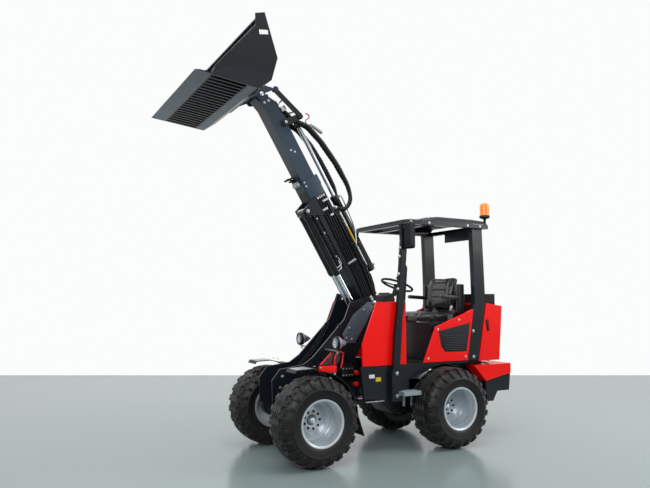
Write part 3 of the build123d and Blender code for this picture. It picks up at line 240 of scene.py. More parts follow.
def seat_vinyl():
    """Black seat vinyl: pebbled grain over a soft sheen."""
    mat = finish_of("seat_vinyl", "0d0e10", 0.36, mottle=0.1, mottle_scale=20)
    tree = mat.node_tree
    shader = set_inputs(tree.nodes["Principled BSDF"], Sheen_Weight=0.15)
    pebble = add_node(tree, "TexVoronoi", Scale=420)
    link(tree, add_node(tree, "TexCoord").outputs["Object"], pebble.inputs["Vector"])
    add_bump(tree, shader, pebble.outputs["Distance"], 0.35, 0.0008)
    return mat


rubber = tyre_rubber()
vinyl = seat_vinyl()

# the record's material slots and the finish that each takes
slot_finish = {
    "frame_grey": frame_paint,
    "body_red": red_paint,
    "boom_grey": boom_paint,
    "machinery": machine_metal,
    "black_plastic": black_plastic,
    "cylinder_black": cylinder_paint,
    "rod_chrome": chrome,
    "bucket_black": bucket_paint,
    "seat_fabric": vinyl,
    "roof_grey": roof_paint,
    "lamp_amber": amber,
    "hose_rubber": hose_rubber,
    "lamp_grey": lamp_shell,
    "tyre_black": rubber,
    "rim_silver": rim_paint,
}


# ---------------------------------------------------------------- building pieces
def in_scene(name, data):
    obj = bpy.data.objects.new(name, data)
    bpy.context.scene.collection.objects.link(obj)
    return obj


def mesh_of(name, build):
    """A mesh filled in by build(bm)."""
    mesh = bpy.data.meshes.new(name)
    bm = bmesh.new()
    build(bm)
    bmesh.ops.recalc_face_normals(bm, faces=bm.faces)
    bm.to_mesh(mesh)
    bm.free()
    return mesh


def piece(name, build, finish, body, smooth=40.0, stands_for=None):
    """What build(bm) makes, as an object that rides on a body, in place of a CAD node if one is named."""
    mesh = mesh_of(name, build)
    obj = in_scene(name, mesh)
    mesh.materials.append(finish)
    for face in mesh.polygons:
        face.use_smooth = True
    mesh.set_sharp_from_angle(angle=math.radians(smooth))
    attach(obj, body)
    if stands_for:
        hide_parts(stands_for)


def made(finish, body, smooth=40.0, stands_for=None, sides=(), name=None):
    """Makes a piece of the function below it, with its name: build(bm), or build(bm, side) for each side."""

    def run(build):
        def fill(bm):
            for side in sides:
                build(bm, side)
            if not sides:
                build(bm)

        piece(name or build.__name__, fill, finish, body, smooth, stands_for)

    return run


def add_block(bm, centre, size, turn=None, chamfer=0.002):
    """A block with chamfered edges, turned by a 3x3 matrix whose columns are its axes."""
    cube = bmesh.ops.create_cube(bm, size=1.0)["verts"]
    bmesh.ops.scale(bm, vec=size, verts=cube)
    edges = list({edge for vert in cube for edge in vert.link_edges})
    width = min(chamfer, min(size) * 0.3)
    out = bmesh.ops.bevel(bm, geom=edges, offset=width, segments=2, profile=0.6, affect="EDGES")
    verts = list({vert for face in out["faces"] for vert in face.verts})
    matrix = turn.to_4x4() if turn else Matrix.Identity(4)
    bmesh.ops.transform(bm, matrix=Matrix.Translation(centre) @ matrix, verts=verts)


def turned(x_axis, z_axis):
    """A turn whose local x and z run along two directions."""
    x = Vector(x_axis).normalized()
    z = Vector(z_axis).normalized()
    return Matrix((x, z.cross(x), z)).transposed()


def pitched(angle):
    return Matrix.Rotation(angle, 3, "Y")


boom_turn = turned(along, above)
boom_side_turn = turned(along, left)


def add_band(bm, rings, closed=False):
    """Faces between rings of equally many vertices, or of one at a tip."""
    count = max(len(ring) for ring in rings)
    for one, two in zip(rings, rings[1:] + (rings[:1] if closed else [])):
        if len(one) == 1 and len(two) == 1:
            continue
        for i in range(count):
            j = (i + 1) % count
            if len(one) == 1:
                bm.faces.new((one[0], two[i], two[j]))
            elif len(two) == 1:
                bm.faces.new((one[i], two[0], one[j]))
            else:
                bm.faces.new((one[i], two[i], two[j], one[j]))


def add_band_across(bm, rings, closed=False):
    """Faces between closed rings, from each vertex to the next along its ring."""
    count = len(rings[0])
    for one, two in zip(rings, rings[1:] + (rings[:1] if closed else [])):
        for i in range(count):
            j = (i + 1) % count
            bm.faces.new((one[i], one[j], two[j], two[i]))


def add_lathe(bm, profile, centre, axis, segments=48, closed=False):
    """A turned form: profile holds (radius, distance along the axis)."""
    axis = Vector(axis).normalized()
    helper = up if abs(axis.z) < 0.9 else ahead
    u = axis.cross(helper).normalized()
    v = axis.cross(u)
    turns = [2 * math.pi * i / segments for i in range(segments)]
    rings = []
    for radius, reach in profile:
        spot = Vector(centre) + axis * reach
        spokes = [Vector()]
        if radius > 1e-6:
            spokes = [(u * math.cos(a) + v * math.sin(a)) * radius for a in turns]
        rings.append([bm.verts.new(spot + spoke) for spoke in spokes])
    add_band(bm, rings, closed)


def rod(radius, start, end, inset=0.0, drop=0.0, bore=0.0):
    """The lathe profile of a rod, with its ends bevelled by inset and drop, or bored through."""
    if not inset:
        return [(bore, start), (radius, start), (radius, end), (bore, end)]
    near = [(bore, start), (radius - inset, start), (radius, start + drop)]
    return near + [(radius, end - drop), (radius - inset, end), (bore, end)]


def add_bolt(bm, centre, axis, radius=0.009, height=0.007):
    """A chamfered hexagon head on its washer."""
    washer = [(0, 0), (radius * 1.55, 0), (radius * 1.55, height * 0.25), (radius, height * 0.3)]
    head = [(radius, height * 0.25), (radius, height * 0.85), (radius * 0.8, height), (0, height)]
    add_lathe(bm, washer, centre, axis, 20)
    add_lathe(bm, head, centre, axis, 6)


def add_plate(bm, outline, place, thickness, chamfer=0.0015):
    """A flat plate: outline in the two directions of place(u, v, w), w being its thickness."""
    near, far = [[bm.verts.new(place(u, v, w)) for u, v in outline] for w in (0, thickness)]
    bm.faces.new(near)
    outer = bm.faces.new(far)
    for i in range(len(outline)):
        j = (i + 1) % len(outline)
        bm.faces.new((near[i], near[j], far[j], far[i]))
    if chamfer:
        bmesh.ops.bevel(bm, geom=list(outer.edges), offset=chamfer, segments=2, profile=0.6, affect="EDGES")


def rectangle(u0, v0, u1, v1):
    return [(u0, v0), (u1, v0), (u1, v1), (u0, v1)]


# ---------------------------------------------------------------- CAD solids that keep their shape
replaced = set(
    "seat_cushion seat_backrest roof_panel beacon steering_wheel boom_hoses lift_hoses lift_barrels "
    "lift_rods tilt_barrel tilt_rod steer_barrel steer_rod".split()
) | {"_".join((kind, end, flank)) for kind in ("tyre", "rim") for end in ends for flank, _ in flanks}
# the outer boom takes the darker copy of the boom paint, which is painted shade
own_finish = {"boom_outer": boom_shaded_paint, "steps": step_steel}
slots_of = {entry["node"]: entry["material_slot"] for entry in frame["record"]["subparts"]}
for name, obj in nodes.items():
    if name in replaced:
        continue
    obj.data.materials.clear()
    obj.data.materials.append(own_finish.get(name) or slot_finish[slots_of[name]])
    weld = obj.modifiers.new("weld", "WELD")
    weld.merge_threshold = 0.00005
    edge = obj.modifiers.new("edge", "BEVEL")
    edge.width = 0.0022
    edge.segments = 2
    edge.limit_method = "ANGLE"
    edge.angle_limit = math.radians(38)
    edge.harden_normals = False
    normals = obj.modifiers.new("normals", "WEIGHTED_NORMAL")
    normals.keep_sharp = False
    normals.weight = 90


# ---------------------------------------------------------------- wheels
tyre_size = high("tyre_front_left") - low("tyre_front_left")
tyre_radius = tyre_size.z / 2
lug_count = 22


def across_tyre(k, height):
    """(radius, side offset) at k from the middle, 0, to the sidewall, 5, between carcass 0 and lug top 1."""
    tops = mm(0, 0, 2.5, 70, 11, 128, 28, 157, 54, 173.5, 84, 179.5)
    feet = mm(15, 0, 17, 70, 26, 122, 43, 147, 66, 166, 89.5, 178)
    i = min(int(k), 4)
    part = k - i
    top = [a + (b - a) * part for a, b in zip(tops[i], tops[i + 1])]
    foot = [a + (b - a) * part for a, b in zip(feet[i], feet[i + 1])]
    drop, offset = [f + (t - f) * height for f, t in zip(foot, top)]
    return tyre_radius - drop, offset


# the sidewall below the tread: depth under the tyre's radius, and side offset, with its ridge and steps
sidewall = mm(
    98, 179.8, 101, 181.8, 106, 181.8, 109, 180.2, 128, 179.6, 146, 177.5, 157, 174.2, 160, 175.2,
    165, 173.8, 172, 169.2, 180, 163.2, 197, 161.2
)
# a lug across itself: half widths and heights
lug_section = [(1.12, -0.3), (0.96, 0.9), (0.86, 1), (-0.86, 1), (-0.96, 0.9), (-1.12, -0.3)]
# a lug along the tread: place across as in across_tyre, and its back and front as parts of the pitch
lug_flank = [
    (0.98, -0.02, 0.40), (1.35, -0.06, 0.36), (1.36, 0.10, 0.50), (2.1, 0.06, 0.46), (2.12, -0.10, 0.34),
    (3.0, -0.12, 0.32), (3.9, -0.10, 0.30), (4.95, -0.06, 0.24),
]


def add_tyre(bm, centre, out):
    def new_vert(angle, radius, offset):
        return bm.verts.new(centre + at(radius * math.cos(angle), out.y * offset, radius * math.sin(angle)))

    half = [across_tyre(k / 2, 0) for k in range(11)] + [(tyre_radius - drop, y) for drop, y in sidewall]
    section = [(radius, -offset) for radius, offset in reversed(half)] + half[1:]
    around = 176
    rings = [[new_vert(2 * math.pi * i / around, *spot) for i in range(around)] for spot in section]
    add_band_across(bm, rings)
    # zig-zag ribs round the middle
    zig_swing = 0.008
    around = lug_count * 8
    for offset, width in mm(-52, 21, -18, 20, 18, 20, 52, 21):
        rings = []
        for side, height in ((-0.5, 0), (-0.36, 0.92), (-0.30, 1), (0.30, 1), (0.36, 0.92), (0.5, 0)):
            ring = []
            for i in range(around):
                zig = zig_swing * (4 * abs(i / 8 % 1.0 - 0.5) - 1)
                place = offset + width * side * (1 if height else 1.25) + zig
                radius, _ = across_tyre(abs(place) / 0.07, height)
                ring.append(new_vert(2 * math.pi * i / around, radius, place))
            rings.append(ring)
        add_band_across(bm, rings)
    # shoulder lugs with a notched flank, half a pitch apart on the two sides
    pitch = 2 * math.pi / lug_count
    for edge in both:
        for lug in range(lug_count):
            start = (lug + (0.5 if edge > 0 else 0.0)) * pitch
            rows = []
            for k, back, fore in lug_flank:
                row = []
                for spread, height in lug_section:
                    radius, offset = across_tyre(k, height * (1 if k < 4.9 else 0.55))
                    angle = start + ((back + fore) / 2 + (fore - back) / 2 * spread) * pitch
                    row.append(new_vert(angle, radius, edge * offset))
                rows.append(row)
            for one, two in zip(rows, rows[1:]):
                for a in range(5):
                    bm.faces.new((one[a], one[a + 1], two[a + 1], two[a]))
            bm.faces.new(rows[0])
            bm.faces.new(rows[-1])


rim_half = (high("rim_front_left").y - low("rim_front_left").y) / 2
flange_radius = (high("rim_front_left").z - low("rim_front_left").z) / 2
bead_radius = flange_radius - 0.0175
disc_face = rim_half - 0.215
bolt_circle = 0.076
bolt_count = 9


def add_rim(bm, centre, out):
    """A deep dished rim: rolled flanges, a barrel that steps down and a disc near the inner flange."""
    outer_flange = mm(1, 6, 1, 1, 5, 0, 12, 1)
    barrel = mm(4, 6, 7.5, 16, 8.5, 44, 10.5, 52, 18.5, 66, 19.5, 90, 17.5, 108, 12.5, 116)
    disc = [
        (bead_radius - 0.0125, 0.012), (bead_radius - 0.0155, 0.003), (bead_radius - 0.0235, 0),
        (0.128, 0.001), (0.122, 0.004), (0.054, 0.004), (0.046, 0.001), (0.046, -0.011),
        (bead_radius - 0.0125, -0.012),
    ]
    back = [
        (bead_radius - 0.0105, -rim_half + 0.010), (flange_radius - 0.005, -rim_half),
        (flange_radius - 0.001, -rim_half + 0.006), (bead_radius + 0.0006, -rim_half + 0.009),
        (bead_radius, -rim_half + 0.018), (bead_radius - 0.001, rim_half - 0.018),
        (bead_radius + 0.0006, rim_half - 0.009),
    ]
    profile = [(flange_radius - drop, rim_half - inward) for drop, inward in outer_flange]
    profile += [(bead_radius - drop, rim_half - inward) for drop, inward in barrel]
    profile += [(radius, disc_face + reach) for radius, reach in disc] + back
    add_lathe(bm, profile, centre, out, 96, closed=True)


def add_nuts(bm, centre, out):
    seat_ring = mm(12.5, 0, 12.5, 3, 10.5, 4.5, 9.5, 0.5, 0, 0)
    for i in range(bolt_count):
        angle = 2 * math.pi * (i + 0.5) / bolt_count
        spot = centre + out * (disc_face + 0.0035) + at(math.cos(angle), 0, math.sin(angle)) * bolt_circle
        add_lathe(bm, seat_ring, spot, out, 20)
        add_lathe(bm, mm(8.5, 0, 8.5, 10, 7, 12, 0, 12), spot, out, 6)


def add_hub(bm, centre, out):
    cap = mm(0, 34, 22, 34, 26, 31, 30, 26, 36, 22, 38.5, 18)
    add_lathe(bm, cap + [(0.0385, -0.010)], centre + out * disc_face, out, 40)
    add_bolt(bm, centre + out * (disc_face + 0.034), out, 0.007, 0.004)


for end, axle in zip(ends, (rear_axle, front_axle)):
    for flank, outward in flanks:
        wheel = end + "_" + flank
        body = "wheel_" + wheel
        centre = at(axle.x, outward * abs(axle.y), axle.z)
        out = at(0, outward, 0)
        for kind, add, finish, slot, smooth, stands_for in (
            ("tyre_tread_", add_tyre, rubber, "tyre_black", 32, "tyre_" + wheel),
            ("rim_dish_", add_rim, rim_paint, "rim_silver", 35, "rim_" + wheel),
            # the near-black nuts and seat rings are painted shade, standing for the dark bolt holes in the rim's
            # disc
            ("wheel_nuts_hole_shade_", add_nuts, cylinder_paint, None, 40, None),
            ("hub_cap_", add_hub, chrome, None, 40, None),
        ):
            piece(kind + wheel, lambda bm: add(bm, centre, out), finish, body, smooth, stands_for)


# ---------------------------------------------------------------- seat
def add_cushion(bm, centre, turn, size, bolsters):
    """A moulded seat pad before it is inflated: a rounded block with raised bolsters along its sides."""
    length, width, thick = size
    across, down = 14, 12
    grid = {}
    for i in range(down + 1):
        for j in range(across + 1):
            u = (i / down - 0.5) * length
            v = (j / across - 0.5) * width
            rim_u = abs(i / down - 0.5) * 2
            rim_v = abs(j / across - 0.5) * 2
            inset = 1 - 0.06 * rim_v**6 * rim_u**2
            rise = bolsters * max(0, rim_v - 0.55) ** 1.2 * (1 - rim_u**8)
            crown = 0.006 * (1 - rim_u**4) * (1 - rim_v**4)
            top = thick / 2 * (1 - 0.35 * max(rim_u, rim_v) ** 10) + (rise + crown)
            for side, w in ((0, -thick / 2), (1, top)):
                grid[i, j, side] = bm.verts.new(centre + turn @ at(u * inset, v * inset, w))
    for i in range(down):
        for j in range(across):
            for side in (0, 1):
                corners = ((i, j), (i + 1, j), (i + 1, j + 1), (i, j + 1))
                quad = [grid[spot + (side,)] for spot in corners]
                bm.faces.new(quad if side else quad[::-1])
    sides = [((i, j), (i + 1, j)) for i in range(down) for j in (0, across)]
    sides += [((i, j), (i, j + 1)) for j in range(across) for i in (0, down)]
    for one, two in sides:
        bm.faces.new((grid[one + (0,)], grid[two + (0,)], grid[two + (1,)], grid[one + (1,)]))


cloth_frames = 20


def inflate(obj, cap):
    """Puffs a pad with cloth pressure, capped, and leaves a plain mesh."""
    remesh = obj.modifiers.new("even", "REMESH")
    remesh.mode = "VOXEL"
    remesh.voxel_size = 0.0055
    bpy.context.view_layer.objects.active = obj
    for other in bpy.context.selected_objects:
        other.select_set(False)
    obj.select_set(True)
    bpy.ops.object.modifier_apply(modifier="even")
    firsts = [vert.co.copy() for vert in obj.data.vertices]
    cloth = obj.modifiers.new("cloth", "CLOTH")
    cloth.settings.quality = 5
    cloth.settings.mass = 0.3
    cloth.settings.tension_stiffness = 40
    cloth.settings.compression_stiffness = 40
    cloth.settings.bending_stiffness = 8.0
    cloth.settings.use_pressure = True
    cloth.settings.uniform_pressure_force = 4.0
    cloth.settings.effector_weights.gravity = 0.0
    cloth.point_cache.frame_start = 1
    cloth.point_cache.frame_end = cloth_frames
    scene = bpy.context.scene
    for step in range(cloth_frames):
        scene.frame_set(step + 1)
    shape = obj.evaluated_get(bpy.context.evaluated_depsgraph_get()).to_mesh()
    lasts = [vert.co.copy() for vert in shape.vertices]
    obj.modifiers.remove(cloth)
    for vert, first, last in zip(obj.data.vertices, firsts, lasts):
        move = last - first
        if move.length > cap:
            move *= cap / move.length
        vert.co = first + move
    scene.frame_set(1)
    soft = obj.modifiers.new("soft_creases", "SMOOTH")
    soft.factor = 0.6
    soft.iterations = 14
    bpy.ops.object.modifier_apply(modifier="soft_creases")


def sew(obj, centre, turn, seams, depth, width):
    """Presses sewn channels into a pad: each seam is a line at one place along u or v on its upper face."""
    inverse = turn.inverted()
    for vert in obj.data.vertices:
        place = inverse @ (vert.co - centre)
        if place.z < 0:
            continue
        for axis, line, start, end in seams:
            reach = place[axis] - line
            if start <= place[1 - axis] <= end and abs(reach) < width:
                vert.co -= turn @ (up * (depth * (1 + math.cos(math.pi * reach / width)) / 2))


def long_seams(offset, start, end):
    """Seams beside the two bolsters."""
    return [(1, side * offset, start, end) for side in both]


def cross_seams(places, half):
    return [(0, place, -half, half) for place in places]


cushion_size = high("seat_cushion") - low("seat_cushion")
cushion_centre = (low("seat_cushion") + high("seat_cushion")) / 2
back_middle = (low("seat_backrest") + high("seat_backrest")) / 2
lean = math.atan2(0.085, 0.385)
lean_up = at(-math.sin(lean), 0, math.cos(lean))
lean_ahead = at(math.cos(lean), 0, math.sin(lean))

# name, node, centre, turn, size, bolster height, seams
pads = [
    (
        "seat_pad", "seat_cushion", cushion_centre - at(0, 0, 0.010), turned(ahead, up),
        [full - cut for full, cut in zip(cushion_size, (0.030, 0.040, 0.044))], 0.040,
        long_seams(0.125, -0.16, 0.20) + cross_seams((-0.06, 0.05), 0.125),
    ),
    (
        "seat_back_pad", "seat_backrest", at(back_middle.x + 0.004, 0, back_middle.z - 0.002),
        turned(lean_up, lean_ahead), (0.350, 0.430, 0.050), 0.045,
        long_seams(0.115, -0.15, 0.15) + cross_seams((-0.06, 0.02, 0.10), 0.115),
    ),
]
for pad_name, node, centre, turn, size, bolster, seams in pads:
    pad = in_scene(pad_name, mesh_of(pad_name, lambda bm: add_cushion(bm, centre, turn, size, bolster)))
    inflate(pad, 0.022)
    sew(pad, centre, turn, seams, 0.010, 0.012)
    pad.data.materials.append(vinyl)
    for face in pad.data.polygons:
        face.use_smooth = True
    pad.modifiers.new("soft", "SUBSURF").levels = 1
    pad.modifiers["soft"].render_levels = 1
    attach(pad, "rear_frame")
    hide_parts(node)


# ---------------------------------------------------------------- roof, beacon and steering wheel
roof_low, roof_high = low("roof_panel"), high("roof_panel")
roof_split = rear_axle.x + 0.188
# places along the roof, and the skin's height there: its crown, the fall to its rear edge, and its window
roof_stops = [
    (roof_low.x, 0.042), (rear_axle.x - 0.41, 0.055), (rear_axle.x + 0.046, 0.058), (roof_split, 0.040),
    (roof_high.x, 0.006),
]


def roof_height(x):
    for (x0, z0), (x1, z1) in zip(roof_stops, roof_stops[1:]):
        if x <= x1:
            return z0 + (z1 - z0) * (x - x0) / (x1 - x0)
    return roof_stops[-1][1]


def roof_sheet(bm, x_range, thickness, rib_depth):
    """A pressed sheet with shallow ribs along it and a turned-down rim."""
    rows, cols = 26, 48
    half = roof_high.y - 0.002
    rib_pitch = 0.19
    grid = {}
    for level in (0, 1):
        for i in range(rows + 1):
            x = x_range[0] + (x_range[1] - x_range[0]) * i / rows
            for j in range(cols + 1):
                y = -half + 2 * half * j / cols
                edge = min(1, (half - abs(y)) / 0.05)
                rib = rib_depth * (0.5 + 0.5 * math.cos(y * 2 * math.pi / rib_pitch)) * edge
                rise = (roof_height(x) - 0.006) * (1 - (1 - edge) ** 2) + rib
                z = roof_low.z + 0.0065 + rise * 0.93 - thickness * (1 - level)
                grid[level, i, j] = bm.verts.new((x, y, z))
    for level in (0, 1):
        for i in range(rows):
            for j in range(cols):
                quad = ((i, j), (i + 1, j), (i + 1, j + 1), (i, j + 1))
                bm.faces.new([grid[(level,) + spot] for spot in quad])
    rim = [(i, 0) for i in range(rows)] + [(rows, j) for j in range(cols)]
    rim += [(i, cols) for i in range(rows, 0, -1)] + [(0, j) for j in range(cols, 0, -1)]
    for one, two in zip(rim, rim[1:] + rim[:1]):
        bm.faces.new([grid[(0,) + one], grid[(0,) + two], grid[(1,) + two], grid[(1,) + one]])


@made(roof_paint, "rear_frame", stands_for="roof_panel")
def roof_rear_skin(bm):
    roof_sheet(bm, (roof_low.x, roof_split), 0.005, 0.003)


@made(roof_glass, "rear_frame")
def roof_front_window(bm):
    roof_sheet(bm, (roof_split + 0.002, roof_high.x), 0.004, 0.0)


stem = at(low("beacon").x + 0.056, (low("beacon").y + high("beacon").y) / 2, low("beacon").z)


@made(black_plastic, "rear_frame")
def beacon_foot(bm):
    add_block(bm, stem + at(0.0165, 0, 0.010), (0.033, 0.038, 0.018))
    collar = mm(0, 0, 13.5, 0, 13.5, 100, 16, 103, 16, 110)
    tray = mm(46, 118, 55.5, 127, 55.5, 143, 52, 148.5, 0, 148.5)
    add_lathe(bm, collar + tray, stem, up, 48)


@made(amber, "rear_frame", 60, "beacon")
def beacon_dome(bm):
    profile = mm(50.5, 149, 51.2, 152)
    for step in range(9):
        profile += [(0.0500, 0.156 + step * 0.0105), (0.0488, 0.161 + step * 0.0105)]
    profile += mm(48.5, 254, 44, 268, 36, 276.5, 20, 283, 0, 284.5)
    add_lathe(bm, profile, stem, up, 48)


@made(chrome, "rear_frame")
def beacon_lamp(bm):
    socket = mm(0, 150, 20, 150, 20, 158, 9, 165)
    bulb = mm(9, 205, 14, 214, 12, 228, 0, 234)
    add_lathe(bm, socket + bulb, stem, up, 24)


wheel_axis = Vector(joints["steering_wheel"]["axis"])
wheel_hub = joint_place("steering_wheel")
wheel_side = wheel_axis.cross(left).normalized()


def round_wheel(angle):
    """The direction from the steering wheel's hub at an angle about its axis."""
    return wheel_side * math.cos(angle) + left * math.sin(angle)


@made(black_plastic, "steering_wheel", 50, "steering_wheel")
def steering_grip(bm):
    major, minor, around, about = 0.168, 0.0122, 72, 14
    rings = []
    for i in range(around):
        angle = 2 * math.pi * i / around
        out = round_wheel(angle)
        grip = minor * (1 - 0.05 * (0.5 + 0.5 * math.cos(angle * 24)))
        ring = []
        for k in range(about):
            t = 2 * math.pi * k / about
            reach = major - 0.0005 + math.cos(t) * grip
            ring.append(bm.verts.new(wheel_hub + out * reach + wheel_axis * (math.sin(t) * grip)))
        rings.append(ring)
    add_band_across(bm, rings, closed=True)
    for spoke in (90, 210, 330):
        out = round_wheel(math.radians(spoke))
        place = wheel_hub + out * 0.094 - wheel_axis * 0.010
        add_block(bm, place, (0.136, 0.024, 0.010), turned(out, wheel_axis), 0.004)
    boss = mm(0, 4, 30, 3, 36, -1, 37, -10, 34, -17.5, 0, -17.8)
    add_lathe(bm, boss, wheel_hub, wheel_axis, 40)


@made(black_plastic, "steering_wheel")
def steering_knob(bm):
    stalk = mm(9, 8, 9, 20, 20, 26)
    ball = mm(24, 38, 20, 52, 10, 58, 0, 59)
    add_lathe(bm, stalk + ball, wheel_hub + round_wheel(2.2) * 0.160, wheel_axis, 28)


# ---------------------------------------------------------------- hydraulics
def filleted(points, radii, step=0.007):
    """Samples a run of straight lines whose corners are rounded by arcs."""
    corners = [Vector(points[0])]
    for before, corner, after, radius in zip(points, points[1:], points[2:], radii):
        back = (Vector(before) - Vector(corner)).normalized()
        onward = (Vector(after) - Vector(corner)).normalized()
        half = back.angle(onward) / 2
        reach = radius / math.tan(half)
        centre = Vector(corner) + (back + onward).normalized() * (radius / math.sin(half))
        a = Vector(corner) + back * reach - centre
        b = Vector(corner) + onward * reach - centre
        sweep = a.angle(b)
        count = max(2, int(sweep * radius / step))
        for i in range(count + 1):
            f = i / count
            spoke = (a * math.sin((1 - f) * sweep) + b * math.sin(f * sweep)) / math.sin(sweep)
            corners.append(centre + spoke)
    corners.append(Vector(points[-1]))
    places = [corners[0]]
    for place in corners[1:]:
        gap = (place - places[-1]).length
        if gap < step * 0.4:
            continue
        start = places[-1]
        count = max(1, round(gap / step))
        places += [start.lerp(place, (i + 1) / count) for i in range(count)]
    return places


def add_sleeve(bm, path, radius, wrap=0.0, depth=0.0, segments=20, swelling=0.0):
    """A hose along a path, in a spiral sleeve of pitch wrap and winding depth, and stouter by swelling."""
    side = (path[1] - path[0]).normalized().orthogonal().normalized()
    rings = []
    run = 0.0
    stout_end = 0.80 * len(path)
    for i, place in enumerate(path):
        tangent = (path[min(i + 1, len(path) - 1)] - path[max(i - 1, 0)]).normalized()
        side = (side - tangent * side.dot(tangent)).normalized()
        other = tangent.cross(side)
        if i:
            run += (place - path[i - 1]).length
        ring = []
        for k in range(segments):
            angle = 2 * math.pi * k / segments
            swell = 1.0 + swelling * min(1.0, 5.0 * min(i, stout_end - i) / len(path)) * (i < stout_end)
            if wrap:
                turn = (run / wrap - angle / (2 * math.pi)) % 1.0
                swell *= 1 - depth * (1 if turn < 0.22 else 0) - depth * 0.5 * noise.noise(place * 14)
            spoke = side * math.cos(angle) + other * math.sin(angle)
            ring.append(bm.verts.new(place + spoke * radius * swell))
        rings.append(ring)
    add_band_across(bm, rings)
    bm.faces.new(rings[0])
    bm.faces.new(rings[-1])


def add_hose(bm, points, radii, step, radius, segments=12, wrap=0.0, depth=0.0):
    """A hose or pipe along a run of straight lines with rounded corners."""
    add_sleeve(bm, filleted(points, radii, step), radius, wrap, depth, segments)


def boom_run(*places):
    return [boom(*place) for place in places]


def add_fitting(bm, place, direction, radius):
    """A crimped hose end with its hexagon nut, seen from the hose outwards."""
    crimps = [(0, 0), (1.15, 0), (1.2, 0.3), (1.08, 0.5), (1.2, 0.7), (1.08, 0.9), (1.2, 1.1), (1.05, 1.5)]
    neck = [(0.62, 1.6), (0.62, 1.9), (0, 1.9)]
    nut = [(0, 1.8), (1.25, 1.8), (1.3, 2.6), (0.7, 2.75), (0, 2.75)]
    for profile, segments in ((crimps + neck, 20), (nut, 6)):
        add_lathe(bm, [(radius * r, radius * reach) for r, reach in profile], place, direction, segments)


def boom_block(bm, place, size, chamfer, turn=boom_turn):
    add_block(bm, boom(*place), size, turn, chamfer)


hose_y = 0.5 * (high("boom_hoses").y + 0.050)
# side, places along and above the boom, and radii of the bends between them
hose_runs = [
    (
        1,
        mm(2086, 128, 1975, 165, 1850, 285, 1660, 345, 1400, 388, 1130, 400, 975, 350, 950, 235, 1008, 165),
        [0.12, 0.15, 0.4, 0.6, 0.4, 0.13, 0.07],
    ),
    (
        -1,
        mm(2086, 128, 1990, 160, 1860, 255, 1660, 305, 1480, 322, 1190, 330, 1010, 282, 965, 205, 1018, 152),
        [0.12, 0.15, 0.4, 0.5, 0.4, 0.11, 0.05],
    ),
]


@made(hose_rubber, "boom_tip", 60, "boom_hoses")
def hose_sleeves(bm):
    for side, places, bends in hose_runs:
        path = filleted([boom(s, t, side * hose_y) for s, t in places], bends)
        add_sleeve(bm, path, 0.0215, 0.036, 0.10, 24, 0.38)


@made(zinc, "boom_tip", sides=both)
def hose_blocks(bm, side):
    boom_block(bm, (2.108, 0.1285, side * hose_y), (0.050, 0.043, 0.052), 0.003)
    add_fitting(bm, boom(2.062, 0.136, side * hose_y), along * 0.93 - above * 0.3, 0.016)
    add_fitting(bm, boom(1.003, 0.172, side * hose_y), along * 0.55 - above * 0.8, 0.016)
    for y in (-0.012, 0.012):
        add_bolt(bm, boom(2.108, 0.1545, side * hose_y + y), above, 0.006, 0.005)


@made(grip_grey, "boom_tip")
def spare_coupling(bm):
    """A capped spare coupling strapped to the left hose."""
    start = boom(1.850, 0.334, hose_y)
    way = (boom(1.712, 0.414, hose_y) - start).normalized()
    plug = mm(0, 0, 10, 0, 10, 16, 14, 20, 14.5, 30, 12, 34)
    grip = mm(16.5, 42, 17.5, 130, 15, 140, 0, 142)
    add_lathe(bm, plug + grip, start, way, 28)
    boom_block(bm, (1.846, 0.322, hose_y), (0.030, 0.030, 0.034), 0.004)


@made(cap_red, "boom_tip")
def coupling_cap(bm):
    places = mm(1856, 274, 1916, 304, 1917, 352, 1945, 362, 1975, 338)
    add_hose(bm, [boom(s, t, hose_y) for s, t in places], [0.012, 0.012, 0.016], 0.005, 0.0065)


# cylinders: turned barrels, rods and eyes in place of the plain solids
lift_t = -0.155
lift_side = 0.050
lift_foot_s, lift_head_s = -0.230, 1.130


@made(cylinder_paint, "lift_barrels", 35, "lift_barrels")
def lift_tubes(bm):
    mouth = mm(25.8, 424, 28, 420.5, 36, 420.5, 38, 424, 38, 436)
    gland = mm(42.5, 438, 42.8, 480, 41, 484, 40.5, 490, 40.5, 1052)
    cap = mm(42.5, 1056, 42.8, 1092, 30, 1097.5, 0, 1098)
    for side in both:
        start = boom(0, lift_t, side * lift_side)
        add_lathe(bm, mouth + gland + cap, start, along, 48)
        add_lathe(bm, mm(25.8, 424, 25.8, 470, 0, 470), start, along, 32)
    add_lathe(bm, rod(0.034, -0.072, 0.072, 0.003, 0.003), boom(lift_head_s, lift_t), left, 40)
    boom_block(bm, (1.100, lift_t), (0.060, 0.143, 0.060), 0.004)


@made(zinc, "lift_barrels", sides=both)
def lift_pins(bm, side):
    pin = mm(19.5, 70, 19.8, 110, 18, 112.5, 0, 112.8)
    add_lathe(bm, pin, boom(lift_head_s, lift_t), left * side, 32)
    add_bolt(bm, boom(lift_head_s, lift_t, side * 0.1125), left * side, 0.007, 0.004)


@made(chrome, "lift_rods", 35, "lift_rods", sides=both)
def lift_rod_bars(bm, side):
    add_lathe(bm, rod(0.0248, -0.200, 0.499), boom(0, lift_t, side * lift_side), along, 40)


@made(cylinder_paint, "lift_rods")
def lift_feet(bm):
    neck = mm(24.8, -196, 33, -192, 33, -176, 25.2, -170)
    for side in both:
        eye = boom(lift_foot_s, lift_t, side * lift_side)
        add_lathe(bm, rod(0.0415, -0.022, 0.022, 0.0035, 0.003), eye, left, 40)
        add_lathe(bm, neck, boom(0, lift_t, side * lift_side), along, 40)
    add_lathe(bm, rod(0.0195, -0.1335, 0.1335), boom(lift_foot_s, lift_t), left, 32)


tilt_t = 0.238
tilt_eye = joint_place("tilt_link")
tilt_eye.y = 0


